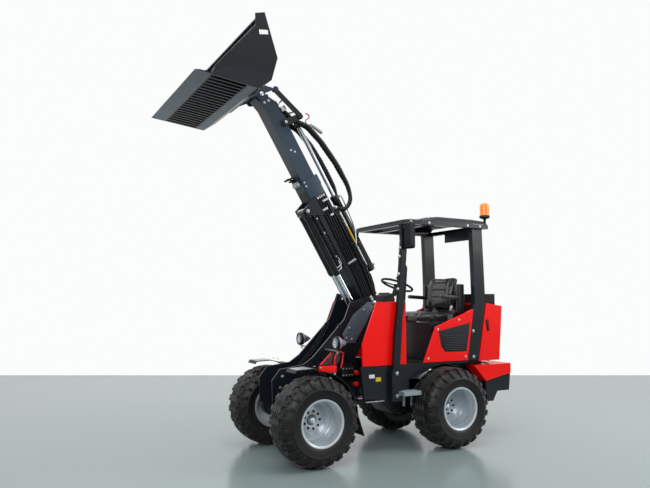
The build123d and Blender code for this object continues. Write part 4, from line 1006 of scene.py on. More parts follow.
@made(cylinder_paint, "boom", 35, "tilt_barrel")
def tilt_tube(bm):
    tube = mm(0, 250, 40, 250, 44.8, 255, 44.8, 290, 42.5, 294, 42.5, 1070)
    gland = mm(44.8, 1074, 44.8, 1112, 41, 1119.5, 30, 1119.5)
    mouth = mm(28.5, 1114, 22.5, 1114, 22.5, 1060, 0, 1060)
    nut = mm(0, 0, 10, 0, 10, 4, 6.5, 5, 6.5, 12, 0, 13)
    add_lathe(bm, tube + gland + mouth, boom(0, tilt_t), along, 48)
    for s in (0.290, 0.940):
        boom_block(bm, (s, 0.1560), (0.040, 0.060, 0.0750), 0.003)
        for y in (-0.022, 0.022):
            add_lathe(bm, nut, boom(s, 0.1935, y) + along * 0.024, above, 6)


@made(chrome, "tilt_rod", 35, "tilt_rod")
def tilt_rod_bar(bm):
    add_lathe(bm, rod(0.0218, 1.036, 1.900), boom(0, tilt_t), along, 40)


@made(cylinder_paint, "tilt_rod")
def tilt_fork(bm):
    add_lathe(bm, rod(0.0298, -0.026, 0.026, 0.0028, 0.003), tilt_eye, left, 40)
    back = tilt_eye - along * 0.040
    on_axis = back + above * (tilt_t - (back - pivot).dot(above))
    add_block(bm, on_axis, (0.060, 0.052, 0.044), boom_turn, 0.004)
    collar = mm(21.8, 1880, 27, 1884, 27, 1900, 21.8, 1904)
    add_lathe(bm, collar, boom(0, tilt_t), along, 32)


@made(zinc, "tilt_rod")
def tilt_fork_pin(bm):
    add_lathe(bm, rod(0.0155, -0.0400, 0.0400), tilt_eye, left, 28)


steer_foot = joint_place("steer_barrel_pivot")
steer_foot.y = 0.260
steer_tip = at(high("steer_rod").x - 0.026, 0.240, steer_foot.z)
steer_way = (steer_tip - steer_foot).normalized()
steer_reach = (steer_tip - steer_foot).length


@made(cylinder_paint, "steer_barrel", 35, "steer_barrel")
def steer_tube(bm):
    tube = mm(0, 0, 29, 0, 29.8, 30, 28, 34, 28, 360, 29.8, 364)
    gland = mm(29.8, 396, 27, 399.5, 15.6, 399.5, 15.6, 360, 0, 360)
    add_lathe(bm, tube + gland, steer_foot, steer_way, 40)
    add_lathe(bm, rod(0.0318, -0.028, 0.028, 0.0018, 0.002, 0.0145), steer_foot, up, 36)
    for reach in (0.055, 0.345):
        add_lathe(bm, rod(0.011, 0.026, 0.042), steer_foot + steer_way * reach, up, 6)


@made(chrome, "steer_rod", 35, "steer_rod")
def steer_rod_bar(bm):
    add_lathe(bm, rod(0.0148, 0.220, steer_reach - 0.020), steer_foot, steer_way, 32)


@made(cylinder_paint, "steer_rod")
def steer_eye(bm):
    add_lathe(bm, rod(0.0258, -0.018, 0.018, 0.0023, 0.002), steer_tip, up, 36)


# the loops of cross hose under the boom's mouth, with their fittings
mouth_t = 0.025 - 0.0945 - 0.0145


@made(hose_rubber, "boom", 60, "lift_hoses")
def cross_hoses(bm):
    for y, forward, down, bend in ((0.046, 0.078, 0.076, 0.032), (0.020, 0.050, 0.044, 0.017)):
        half = [(1.396, mouth_t), (1.400 + forward, mouth_t), (1.400 + forward, mouth_t - down)]
        points = [boom(s, t, y) for s, t in half] + [boom(s, t, -y) for s, t in reversed(half)]
        add_hose(bm, points, [bend, bend * 0.6, bend * 0.6, bend], 0.004, 0.0101, 16, 0.012, 0.07)


@made(zinc, "boom")
def mouth_block(bm):
    boom_block(bm, (1.385, mouth_t), (0.030, 0.128, 0.026), 0.003)
    nut = mm(0, 0, 14.5, 0, 14.5, 10, 12.5, 12, 12.5, 22, 0, 22)
    for y in (-0.046, -0.020, 0.020, 0.046):
        add_lathe(bm, nut, boom(1.400, mouth_t, y), along, 6)
    for y in (-0.057, 0.057):
        add_bolt(bm, boom(1.385, mouth_t - 0.013, y), -above, 0.005, 0.004)


# ---------------------------------------------------------------- pipes, clamps and rods along the boom
side_half = 0.095
hose_side = side_half + 0.0105
hose_levels = mm(84, 52, 58, 30, 32, 8, 6, -14)


@made(hose_rubber, "boom", 60, sides=both)
def side_hoses(bm, side):
    """Hoses packed on a side of the outer boom, from the clamps near its mouth down to the pivot."""
    for upper, lower in hose_levels:
        places = ((1.190, upper), (0.760, upper - 0.012), (0.300, lower), (0.020, lower - 0.02))
        add_hose(bm, [boom(s, t, side * hose_side) for s, t in places], [1.5, 1.5], 0.012, 0.0097)


@made(zinc, "boom")
def boom_clamps(bm):
    """Fittings, clamps and bolts at the head of the side hoses."""
    clamps = ((1.140, 0.066, 0.062), (1.060, 0.020, 0.058), (0.980, 0.060, 0.034), (0.470, 0.020, 0.100))
    for side in both:
        for t, _ in hose_levels:
            add_fitting(bm, boom(1.180, t, side * hose_side), along, 0.0092)
        for s, t, tall in clamps:
            boom_block(bm, (s, t, side * (side_half + 0.0215)), (0.020, tall, 0.0030), 0.001, boom_side_turn)
            for edge in (-0.5, 0.5):
                foot = (s, t + edge * tall, side * (side_half + 0.0110))
                boom_block(bm, foot, (0.020, 0.0040, 0.0210), 0.001, boom_side_turn)
                spot = boom(s, t + edge * (tall - 0.020), side * (side_half + 0.0228))
                add_bolt(bm, spot, left * side, 0.0055, 0.003)
        for s in (1.385, 1.345):
            add_bolt(bm, boom(s, -0.045, side * side_half), left * side, 0.009, 0.007)
    for y in (-0.030, 0.030):
        boom_block(bm, (1.225, 0.1370, y), (0.050, 0.030, 0.020), 0.003)
        add_fitting(bm, boom(1.247, 0.1380, y), along, 0.0075)


@made(boom_paint, "boom")
def mouth_collar(bm):
    """A wear collar round the mouth of the outer boom."""
    for side in both:
        outline = rectangle(1.212, -0.066, 1.4015, 0.116)
        add_plate(bm, outline, lambda u, v, w: boom(u, v, side * (side_half + 0.0003 + w)), 0.004)
    for t, face, thickness in ((0.1200, 1, 0.007), (-0.0700, -1, 0.0004)):
        outline = rectangle(1.300, -0.093, 1.4015, 0.093)
        add_plate(bm, outline, lambda u, v, w: boom(u, t + face * w, v), thickness, 0)


lift_pipe_y = 0.104
pipe_stops = mm(0, 469, 30, 500)
lift_pipe_clamps = (0.600, 0.860, 1.020)


def add_lift_pipe(bm, side, start, offset, stop, radius):
    """A pipe along a lift cylinder from a start on the boom, hooked in at its stop."""
    y = side * lift_pipe_y
    hook = boom_run(
        (stop, -0.108 + offset * 0.5, y), (stop - 0.006, -0.150, y),
        (stop - 0.006, -0.155, y - side * 0.018),
    )
    add_hose(bm, [boom(*start, y)] + hook, [0.022, 0.010], 0.006, radius)


@made(cylinder_paint, "lift_barrels", sides=both)
def lift_pipes(bm, side):
    """J-shaped pipes from the lift cylinders' ends."""
    for offset, stop in pipe_stops:
        add_lift_pipe(bm, side, (1.060, -0.120 + offset * 0.4), offset, stop, 0.0062)
    for s in lift_pipe_clamps:
        boom_block(bm, (s, -0.111, side * lift_pipe_y), (0.022, 0.034, 0.022), 0.002, boom_side_turn)


@made(zinc, "lift_barrels", sides=both)
def lift_pipe_ends(bm, side):
    """The bright hooked ends of the lift cylinders' pipes, with their bolts."""
    for offset, stop in pipe_stops:
        add_lift_pipe(bm, side, (stop + 0.080, -0.1085 + offset * 0.5), offset, stop, 0.0070)
    for s in lift_pipe_clamps:
        add_bolt(bm, boom(s, -0.111, side * lift_pipe_y + side * 0.011), left * side, 0.005, 0.004)


@made(zinc, "boom")
def tilt_pipes(bm):
    """Ports and pipes along the tilt cylinder."""
    port = mm(0, 40, 14, 40, 14, 58, 9, 60, 0, 60)
    way = (above + left * 0.8).normalized()
    for s in (0.300, 1.092):
        add_lathe(bm, port, boom(s, tilt_t), way, 6)
    points = [
        boom(1.092, tilt_t) + way * 0.060, boom(1.092, tilt_t) + way * 0.072,
        boom(0.860, tilt_t) + way * 0.060, boom(0.700, tilt_t - 0.010) + way * 0.052,
        boom(0.560, tilt_t - 0.060, 0.058),
    ]
    add_hose(bm, points, [0.010, 0.3, 0.3], 0.01, 0.007)


@made(hose_rubber, "boom")
def return_hoses(bm):
    """Hoses from the top of the boom back to the pivot, on the machine's left, and a bundle in the middle."""
    hose_line = 0.1085
    for t in (0.132, 0.107):
        places = ((0.940, t), (0.350, t), (0.180, t - 0.020), (0.040, t * 0.6), (-0.030, 0.030))
        points = [boom(0.985, t + 0.016, 0.090)] + [boom(s, rise, hose_line) for s, rise in places]
        add_hose(bm, points, [0.06, 0.6, 0.25, 0.15], 0.012, 0.0115, 14)
    # the bundle leaves the tilt cylinder's foot and sweeps round to the pivot
    for y, t in mm(-30, 205, 0, 212, 30, 205):
        places = ((0.300, t - 0.045), (0.225, t - 0.020), (0.120, t - 0.040), (0.020, 0.130), (-0.050, 0.070))
        add_hose(bm, [boom(s, rise, y) for s, rise in places], [0.04, 0.12, 0.15], 0.012, 0.0135, 14)


@made(black_plastic, "boom")
def hose_straps(bm):
    for s in (0.880, 0.620, 0.400):
        boom_block(bm, (s, 0.1195, 0.1090), (0.018, 0.060, 0.027), 0.006, boom_side_turn)


# the gauge rod along the boom's upper left edge: bright, with white and yellow-green sleeves; the white sleeves
# are a painted highlight, standing for the shine along the tilt barrel
for name, start, end, size, finish in (
    ("level_rod", 0.975, 0.345, 0.0045, chrome), ("level_sleeve_white", 0.960, 0.800, 0.0080, white_plate),
    ("level_sleeve_yellow", 0.800, 0.610, 0.0080, yellow_plate),
    ("level_sleeve_tail", 0.560, 0.400, 0.0070, white_plate),
):

    @made(finish, "boom", name=name)
    def add_level(bm):
        add_lathe(bm, rod(size, start, end), boom(0, 0.157, 0.112), along, 16)


@made(black_plastic, "boom")
def level_feet(bm):
    for s in (0.965, 0.355):
        boom_block(bm, (s, 0.138, 0.1000), (0.016, 0.050, 0.010), 0.002, boom_side_turn)
        boom_block(bm, (s, 0.157, 0.1085), (0.016, 0.018, 0.018), 0.002)


# ---------------------------------------------------------------- bucket
heel = at(pivot.x, 0, pivot.z) + along * 2.308 - above * 0.367
floor_pitch = math.radians(6.4)
floor_way = at(math.cos(floor_pitch), 0, math.sin(floor_pitch))
floor_up = at(-math.sin(floor_pitch), 0, math.cos(floor_pitch))
bucket_half = high("bucket").y
# how far a thin plate is let into the face that it lies on
seat_in = 0.0002


def bucket(u, w, y=0.0):
    """A place in the bucket: forward along its floor from the heel, square to it, and to the left."""
    return heel + floor_way * u + floor_up * w + left * y


def add_bucket_plate(bm, side, outline):
    """A thin plate flat on a side plate of the bucket."""
    face = side * (bucket_half - seat_in)
    add_plate(bm, outline, lambda u, v, w: bucket(u, v, face) + left * side * w, 0.0008, 0)


@made(steel_edge, "bucket")
def bucket_wear_plates(bm):
    """Worn steel: the cutting edge and the strip behind the slots."""
    for start, end, half, thickness in ((0.408, 0.5425, 0.7485, 0.0016), (0.004, 0.086, 0.735, 0.0012)):
        outline = rectangle(start, -half, end, half)
        add_plate(bm, outline, lambda u, v, w: bucket(u, -seat_in - w, v), thickness, 0)


@made(steel_edge, "bucket")
def bucket_back_strip(bm):
    """A plain strip along the top of the back, above its slots."""
    down_u, down_w = -0.4136, -0.9105

    def on_back(u, v, w):
        return bucket(0.0300 + down_u * u - down_w * w, 0.6460 + down_w * u + down_u * w, v)

    add_plate(bm, rectangle(0.0, -0.734, 0.064, 0.734), on_back, 0.003, 0)


# a skid plate low on each side of the bucket; its slightly lighter frame paint is a painted highlight on the
# curved lower part of the side
@made(frame_paint, "bucket", sides=both)
def bucket_side_plates_lit(bm, side):
    foot = mm(8, 6, 396, 6, 383, 30)
    top = mm(302, 95, 106, 127, -95, 140, -100, 98)
    add_bucket_plate(bm, side, foot + top)


@made(white_plate, "bucket", sides=both)
def bucket_blank_label(bm, side):
    add_bucket_plate(bm, side, mm(57, 495, -20, 515, -30, 479, 47, 458))


@made(bucket_paint, "bucket")
def bucket_ribs(bm):
    """Edge bars, back ribs and weld beads."""
    outline = mm(-139, 301, -150, 310, -60, 508, -42, 516)
    for y in (-0.45, -0.15, 0.15, 0.45):
        add_plate(bm, outline, lambda u, v, w: bucket(u, v, y - 0.005 + w), 0.010, 0.001)
    rim = mm(386, 73, 85, 526, 100, 630)
    for side in both:
        for a, b in zip(rim, rim[1:]):
            start, end = [bucket(*spot, side * (bucket_half - 0.007)) for spot in (a, b)]
            add_sleeve(bm, [start, start.lerp(end, 0.5), end], 0.0062, segments=10)
        start, end = [bucket(u, 0.0115, side * (bucket_half - 0.0165)) for u in (0.02, 0.40)]
        add_sleeve(bm, [start.lerp(end, k / 40) for k in range(41)], 0.0040, 0.009, 0.25, 8)


# ---------------------------------------------------------------- pins, keepers and bolts at the boom's head
def add_pin_heads(bm, side, centre, y_face, radius):
    spot = at(centre.x, side * y_face, centre.z)
    head = [(0, -0.004), (radius, -0.004), (radius, 0.004), (radius * 0.86, 0.006), (0, 0.006)]
    add_lathe(bm, head, spot, left * side, 32)
    nipple = [(0, 0.006), (radius * 0.32, 0.006), (radius * 0.30, 0.009), (0, 0.009)]
    add_lathe(bm, nipple, spot, left * side, 6)


@made(zinc, "bucket", sides=both)
def head_pins(bm, side):
    add_pin_heads(bm, side, head_pin, 0.150, 0.021)


@made(zinc, "tilt_lever", sides=both)
def lever_pins(bm, side):
    add_pin_heads(bm, side, lever_pin, 0.113, 0.0155)


@made(zinc, "front_frame", sides=both)
def pivot_keepers(bm, side):
    """A keeper plate with its bolts beside the boom's main pin."""
    spot = at(pivot.x, side * 0.1585, pivot.z) + along * 0.052
    outline = rectangle(-0.030, -0.013, 0.030, 0.013)
    add_plate(bm, outline, lambda u, v, w: spot + along * u + above * v + left * side * w, 0.006)
    for u in (-0.018, 0.018):
        add_bolt(bm, spot + along * u + left * side * 0.006, left * side, 0.0065, 0.005)


@made(zinc, "boom", sides=both)
def pivot_pin_heads(bm, side):
    add_pin_heads(bm, side, pivot, 0.1715, 0.0235)


@made(cylinder_paint, "bucket")
def coupler_lock(bm):
    """The lock cylinder on the quick coupler, with its pins and their guides."""
    centre = bucket(-0.152, 0.205)
    add_lathe(bm, rod(0.022, -0.205, 0.205, 0.004, 0.005), centre, left, 32)
    for side in both:
        add_lathe(bm, rod(0.012, 0.200, 0.262), centre, left * side, 24)
        guide = centre + left * side * 0.262
        add_block(bm, guide, (0.044, 0.020, 0.050), turned(floor_way, floor_up), 0.004)


@made(zinc, "boom_tip")
def head_couplings(bm):
    """Couplings and a guard plate on top of the boom's head, with the bolts and plugs on its sides."""
    body = mm(0, 0, 9.5, 0, 9.5, 12, 12.5, 13, 12.5, 34)
    nose = mm(9.5, 36, 9.5, 46, 6.5, 47, 0, 47)
    plug = mm(9, -2, 9, 0.5, 7.5, 1.2, 0, 1.2)
    for y in (-0.036, -0.012, 0.012, 0.036):
        add_lathe(bm, body + nose, boom(2.160, 0.100, y), (above + along * 0.35).normalized(), 20)
    boom_block(bm, (2.150, 0.104), (0.060, 0.110, 0.010), 0.002)
    for s in (1.960, 2.000):
        add_bolt(bm, boom(s, 0.1025, 0.060), above, 0.007, 0.005)
    for side in both:
        for t in (0.030, -0.020):
            add_bolt(bm, boom(2.235, t, side * 0.076), left * side, 0.008, 0.006)
        for s, t in mm(1720, 0, 1690, 30):
            add_lathe(bm, plug, boom(s, t, side * 0.078), left * side, 20)


@made(hose_rubber, "boom_tip")
def head_hose_loop(bm):
    points = boom_run(
        (2.175, 0.140, 0.036), (2.190, 0.200, 0.036), (2.110, 0.262, 0.050), (2.030, 0.235, 0.066),
        (2.050, 0.150, 0.072),
    )
    add_hose(bm, points, [0.030, 0.045, 0.045], 0.006, 0.0075)


# ---------------------------------------------------------------- tower, lamps and the gear beside it
tower_y = 0.158
lit_plate_thick = 0.007


@made(tower_lit_paint, "front_frame", sides=both)
def tower_lit_plates(bm, side):
    """A raised plate on a side of the tower, in a lighter slate that is painted light on the lit upper part of the
    tower's side.
    """
    top = mm(124, 1105, -2, 1298, -170, 1420, -262, 1418)
    foot = mm(-145, 1211, -16, 1018, 85, 1020)
    add_plate(bm, top + foot, lambda u, v, w: at(u, side * (tower_y + 0.0003 + w), v), lit_plate_thick)


@made(zinc, "front_frame", sides=both)
def tower_bolts(bm, side):
    on_lit_plate = mm(75, 1070, 20, 1055, 45, 1165, -120, 1340)
    on_plate = mm(240, 600, 420, 560, 780, 640, 760, 740)
    for places, rise in ((on_lit_plate, lit_plate_thick + 0.0003), (on_plate, 0.0)):
        for x, z in places:
            add_bolt(bm, at(x, side * (tower_y + rise), z), left * side, 0.010, 0.008)


@made(hose_rubber, "front_frame")
def tower_hoses(bm):
    """Hoses flat on the inner faces of the tower's plates, and stouter ones outside the right plate."""
    inner = mm(150, 1210, 215, 1080, 330, 930, 470, 790, 520, 640)
    for y in (-0.1335, 0.1335):
        for shift in (0.0, 0.022, 0.044):
            add_hose(bm, [at(x - shift, y, z) for x, z in inner], [0.15, 0.3, 0.12], 0.012, 0.0066)
    outer = (
        (-0.030, -0.186, 1.500), (0.008, -0.186, 1.410), (0.070, -0.186, 1.270), (0.115, -0.186, 1.130),
        (0.130, -0.180, 1.020),
    )
    for shift in (0.0, 0.040):
        points = [at(x - shift, y, z) for x, y, z in outer]
        add_hose(bm, points, [0.2, 0.3, 0.3], 0.014, 0.0185, 16, 0.030, 0.08)


lamp_face_x = high("work_lights").x
lamp_z = deck_z + 0.222
lamp_y = 0.378


@made(black_plastic, "front_frame", sides=both)
def lamp_bezels(bm, side):
    centre = at(lamp_face_x, side * lamp_y, lamp_z)
    lip = mm(53.5, 4, 53.5, 10.5, 57.5, 13, 62.5, 11.5)
    skirt = mm(64, 6, 64, -12, 62.2, -13)
    plug = mm(22, 0, 12, 6, 10, 20, 6, 24, 0, 24)
    add_lathe(bm, lip + skirt, centre, ahead, 48)
    add_lathe(bm, plug, at(lamp_face_x - 0.095, side * lamp_y, lamp_z), -ahead, 24)


@made(lens_glass, "front_frame", sides=both)
def lamp_glasses(bm, side):
    glass = mm(53.5, 6, 50, 9.5, 30, 12.5, 0, 13.5)
    add_lathe(bm, glass, at(lamp_face_x, side * lamp_y, lamp_z), ahead, 40)


@made(chrome, "front_frame", sides=both)
def lamp_dishes(bm, side):
    centre = at(lamp_face_x, side * lamp_y, lamp_z)
    dish = mm(53.5, 5, 44, 2.2, 30, 1.2, 12, 0.6, 0, 0.6)
    bulb = mm(19.5, 2.8, 19.5, 5, 16.5, 5, 7, 3.2, 0, 4.4)
    add_lathe(bm, dish, centre, ahead, 40)
    for k in range(3):
        angle = k * 2.094 + 1.57
        add_lathe(bm, bulb, centre + at(0, math.cos(angle), math.sin(angle)) * 0.023, ahead, 24)


@made(zinc, "front_frame", sides=both)
def lamp_nuts(bm, side):
    """The nut under each lamp, on its stud."""
    nut = mm(0, 0, 10, 0, 10, 12, 6, 13, 6, 20, 0, 20)
    add_lathe(bm, nut, at(lamp_face_x - 0.020, side * 0.372, lamp_z - 0.081), -up, 6)


def valve_x(k):
    """The place of one of the valve block's four spools."""
    return 0.052 + k * 0.032


@made(black_plastic, "front_frame")
def valve_block(bm):
    """A valve block on the tower's left side with its spool caps, and a smaller block on its arm."""
    cap = mm(0, 0, 12, 0, 12, 14, 8, 16, 8, 26, 0, 26)
    add_block(bm, at(0.100, 0.192, 0.752), (0.136, 0.064, 0.100), None, 0.004)
    for k in range(4):
        add_lathe(bm, cap, at(valve_x(k), 0.192, 0.802), up, 6)
    add_block(bm, at(0.330, 0.300, 0.735), (0.072, 0.060, 0.064), None, 0.004)
    add_block(bm, at(0.340, 0.215, 0.725), (0.040, 0.115, 0.012), None, 0.002)


@made(zinc, "front_frame")
def valve_bolts(bm):
    for k in range(4):
        for z in (0.722, 0.782):
            add_bolt(bm, at(valve_x(k), 0.224, z), left, 0.006, 0.005)
    for x in (0.307, 0.353):
        for z in (0.716, 0.754):
            add_bolt(bm, at(x, 0.330, z), left, 0.0075, 0.006)


@made(red_plastic, "front_frame")
def valve_caps(bm):
    cap = mm(0, 0, 20, 0, 23, 4, 23, 50, 19, 56, 0, 57)
    for z in (0.735, 0.625):
        add_lathe(bm, cap, at(-0.010, 0.1585, z), left, 28)


@made(red_paint, "front_frame")
def red_bar(bm):
    add_block(bm, at(0.384, 0.335, 0.802), (0.170, 0.046, 0.062), None, 0.005)
    outline = mm(448, 838, 330, 949, 324, 943, 440, 834)
    add_plate(bm, outline, lambda u, v, w: at(u, 0.295 + w, v), 0.006)


@made(panel_dark, "front_frame")
def bar_panel(bm):
    """The dark panel that stands on the red bar behind the lamp."""
    outline = mm(444, 841, 328, 946, 176, 949, 264, 835)
    add_plate(bm, outline, lambda u, v, w: at(u, 0.296 + w, v), 0.004)


@made(frame_paint, "front_frame")
def bar_arms(bm):
    """Arms that carry the bar and its panel from the tower."""
    for x in (0.355, 0.445):
        add_block(bm, at(x, 0.240, 0.800), (0.016, 0.168, 0.030), None, 0.002)
    add_block(bm, at(0.362, 0.229, 0.885), (0.024, 0.146, 0.012), None, 0.002)


@made(red_plastic, "front_frame")
def red_hose_loop(bm):
    places = (
        (0.300, 0.315, 0.838), (0.296, 0.316, 0.900), (0.270, 0.318, 0.955), (0.205, 0.318, 0.950),
        (0.212, 0.316, 0.880), (0.228, 0.312, 0.800),
    )
    add_hose(bm, places, [0.05, 0.03, 0.03, 0.05], 0.006, 0.0095)


@made(zinc, "front_frame", sides=both)
def fender_bolts_and_glints(bm, side):
    """Bolts on the front fenders, and bright zinc plates on their tips that are a painted highlight."""
    top = high("front_fenders").z
    slope = 0.038
    for offset in (0.400, 0.520):
        add_bolt(bm, at(front_axle.x - 0.060, side * offset, top - 0.0005), up, 0.009, 0.005)

    def on_fender(u, v, w):
        return at(front_axle.x + 0.034 + v, side * 0.455 + u, top - seat_in - v * slope + w)

    # the bright plate on each fender's tip is a painted highlight: light reflected from the grey sheet
    add_plate(bm, mm(-91, 0, 91, 0, 80, 150, -80, 150), on_fender, 0.0012, 0)


# ---------------------------------------------------------------- side panels, hood and tail
def on_side(side, x, z, out=0.0):
    """A place on a side face of the bodywork."""
    return at(x, side * (side_y + out), z)


def behind(x, z):
    """A place in the side view, from the rear axle and the deck."""
    return rear_axle.x + x, deck_z + z


@made(panel_grey, "rear_frame", sides=both)
def side_insets(bm, side):
    corners = mm(63, 306, -349, 383, -297, 92, -14, 98, 35, 159)
    outline = [behind(*corner) for corner in corners]
    add_plate(bm, outline, lambda u, v, w: on_side(side, u, v, -0.0058 + w), 0.003, 0.0008)


@made(black_plastic, "rear_frame", sides=both)
def side_louvres(bm, side):
    """Louvres over the lower half of the inset."""
    for k in range(9):
        front = rear_axle.x - 0.030 + min(0.045, k * 0.008)
        rear = rear_axle.x - 0.270 - k * 0.003
        middle = on_side(side, (front + rear) / 2, deck_z + 0.118 + k * 0.0175, -0.0008)
        add_block(bm, middle, (front - rear, 0.0045, 0.0085), Matrix.Rotation(side * 0.5, 3, "X"), 0.001)


@made(zinc, "rear_frame", sides=both)
def panel_bolts(bm, side):
    for place in mm(75, 325, 200, 40, -280, 40, -200, 418):
        add_bolt(bm, on_side(side, *behind(*place)), left * side, 0.0085, 0.006)


@made(black_plastic, "hood", sides=both)
def hood_latches(bm, side):
    centre = on_side(side, *behind(-0.589, 0.352), -0.0052)
    add_block(bm, centre, (0.030, 0.005, 0.118), pitched(0.12), 0.002)
    add_block(bm, centre + at(0.002, side * 0.004, 0.012), (0.018, 0.006, 0.062), pitched(0.12), 0.002)


@made(black_plastic, "hood")
def hood_grille(bm):
    """A framed grille over the hood's rear face."""
    top = at(rear_axle.x - 0.7930, 0, deck_z + 0.520)
    foot = at(rear_axle.x - 0.7505, 0, deck_z + 0.050)
    way = (top - foot).normalized()
    back = at(-way.z, 0, way.x).normalized()
    turn = turned(left, back)
    length = (top - foot).length
    bars = 19
    for k in range(bars):
        spot = foot.lerp(top, (k + 0.5) / bars) + back * 0.0025
        for y in (-0.165, 0.165):
            add_block(bm, spot + left * y, (0.300, 0.013, 0.005), turn, 0.0015)
    for y in (-0.325, 0.0, 0.325):
        middle = foot.lerp(top, 0.5) + back * 0.003 + left * y
        add_block(bm, middle, (0.016, length + 0.024, 0.007), turn, 0.002)
    for k in (0.0, 1.0):
        add_block(bm, foot.lerp(top, k) + back * 0.003, (0.666, 0.020, 0.007), turn, 0.002)


tail_low = low("tail_weight")
tail_lamp_y = 0.330
tail_lamp_z = deck_z - 0.107


@made(black_plastic, "rear_frame", sides=both)
def tail_lamp_bodies(bm, side):
    centre = at(tail_low.x + 0.0007, side * tail_lamp_y, tail_lamp_z)
    add_block(bm, centre, (0.006, 0.150, 0.058), None, 0.002)


@made(red_plastic, "rear_frame", sides=both)
def tail_lenses(bm, side):
    for shift, wide in mm(-36, 60, 34, 64):
        centre = at(tail_low.x - 0.0001, side * tail_lamp_y + shift, tail_lamp_z)
        add_block(bm, centre, (0.005, wide, 0.046), None, 0.002)


@made(zinc, "rear_frame")
def tow_pin(bm):
    """The towing pin in its bore, the ring on its head and the bolts of the tail."""
    spot = Vector(frame["record"]["mounts"][0]["pos_m"])
    shank = mm(0, -60, 10.5, -60, 11.5, -52, 11.5, 50)
    head = mm(20, 50.5, 20, 56, 8, 60, 0, 60)
    add_lathe(bm, shank + head, spot, up, 28)
    ring = [spot + at(0, y, z) for y, z in mm(0, 56, 0, 85, 30, 85, 30, 60)]
    add_hose(bm, ring, [0.012, 0.012], 0.004, 0.0035, 10)
    for side in both:
        add_bolt(bm, at(tail_low.x + 0.0076, side * 0.200, tail_low.z + 0.180), -ahead, 0.012, 0.009)


# ---------------------------------------------------------------- sill plates, post feet and steps
platform_y = high("platform").y

for name, x, z, wide, tall, finish in (
    ("sill_plate_white", -0.040, 0.722, 0.062, 0.034, white_plate),
    ("sill_plate_yellow", -0.112, 0.690, 0.058, 0.038, yellow_plate),
):

    @made(finish, "rear_frame", sides=both, name=name)
    def add_sill_plate(bm, side):
        outline = rectangle(x - wide / 2, z - tall / 2, x + wide / 2, z + tall / 2)
        add_plate(bm, outline, lambda u, v, w: at(u, side * (platform_y - seat_in + w), v), 0.0012, 0)


@made(zinc, "rear_frame", sides=both)
def sill_trim(bm, side):
    """Bolts in the post feet, and the bright lower edge of the sill."""
    for front_z, rear_z in ((deck_z - 0.075, deck_z + 0.035), (deck_z - 0.285, deck_z + 0.300)):
        add_bolt(bm, at(articulation.x - 0.147, side * post_y, front_z), left * side, 0.012, 0.009)
        add_bolt(bm, at(rear_axle.x - 0.388, side * side_y, rear_z), left * side, 0.011, 0.008)
    add_block(bm, at(-0.075, side * (platform_y - 0.014), 0.4865), (0.205, 0.030, 0.010), None, 0.002)


step_x, step_top = low("steps").x, high("steps").z


@made(step_steel, "rear_frame", sides=both)
def step_teeth(bm, side):
    tooth = mm(5.5, -0.5, 5.5, 3, 4, 4.5, 2.5, 4.5, 0, 2.5)
    for i in range(11):
        for j in range(2):
            spot = at(step_x + 0.020 + i * 0.019, side * (0.503 + j * 0.056), step_top)
            add_lathe(bm, tooth, spot, up, 12)
    for x in (0.030, 0.120):
        add_block(bm, at(step_x + x, side * 0.4305, step_top - 0.080), (0.026, 0.010, 0.150), None, 0.002)


# ---------------------------------------------------------------- handles, rails, mirror and cab fittings
@made(cylinder_paint, "rear_frame", sides=both)
def grab_handles(bm, side):
    """Grab handles behind the front posts, and the thin rails on the posts."""
    inner = side * (post_y - 0.022)
    handle = mm(-345, 1800, -398, 1806, -428, 1755, -400, 1440, -362, 1275, -325, 1262)
    add_hose(bm, [at(x, inner, z) for x, z in handle], [0.025, 0.04, 0.2, 0.02], 0.012, 0.0105, 16)
    rail = ((-0.348, 0.002, 2.030), (-0.326, 0.008, 1.906), (-0.320, 0.008, 1.808), (-0.300, 0.008, 1.520))
    add_hose(bm, [at(x, side * (post_y + out), z) for x, out, z in rail], [0.2, 0.2], 0.02, 0.0065)


@made(zinc, "rear_frame", sides=both)
def rail_knobs(bm, side):
    knob = rod(0.013, -0.013, 0.013, 0.003, 0.004)
    for x, z in mm(-333, 1945, -323, 1860, -312, 1690, -302, 1545):
        add_lathe(bm, knob, at(x, side * (post_y + 0.009), z), up, 20)


mirror_x = low("mirror").x


@made(mirror_glass, "rear_frame")
def mirror_face(bm):
    reach, rise, round_by = 0.054, 0.118, 0.024
    outline = []
    for side, level, start in ((1, 1, 0), (-1, 1, 90), (-1, -1, 180), (1, -1, 270)):
        for k in range(6):
            angle = math.radians(start + k * 18)
            u = side * (reach - round_by) + math.cos(angle) * round_by
            v = level * (rise - round_by) + math.sin(angle) * round_by
            outline.append((u, v))
    centre = at(mirror_x, post_y + 0.075, deck_z + 1.247)
    add_plate(bm, outline, lambda u, v, w: centre + at(0.0004 - w, u, v), 0.0016, 0)


@made(zinc, "rear_frame")
def mirror_ball(bm):
    centre = at(mirror_x + 0.023, post_y + 0.006, deck_z + 1.332)
    ball = mm(0, -12, 11, -10, 14, 0, 11, 10, 0, 12)
    add_lathe(bm, ball, centre, left, 24)
    add_bolt(bm, centre + at(0.010, 0, 0), ahead, 0.007, 0.006)


def by_seat(x, y, z):
    """A place beside the seat, from the rear axle and the top of the seat's base."""
    return at(rear_axle.x + x, y, seat_base_z + z)


@made(vinyl, "rear_frame", sides=both)
def armrest_pads(bm, side):
    """A padded armrest head and a tall bolster beside the seat's back."""
    add_block(bm, by_seat(-0.250, side * 0.285, 0.262), (0.300, 0.054, 0.040), pitched(-0.06), 0.014)
    add_block(bm, by_seat(-0.352, side * 0.285, 0.250), (0.078, 0.058, 0.308), None, 0.016)


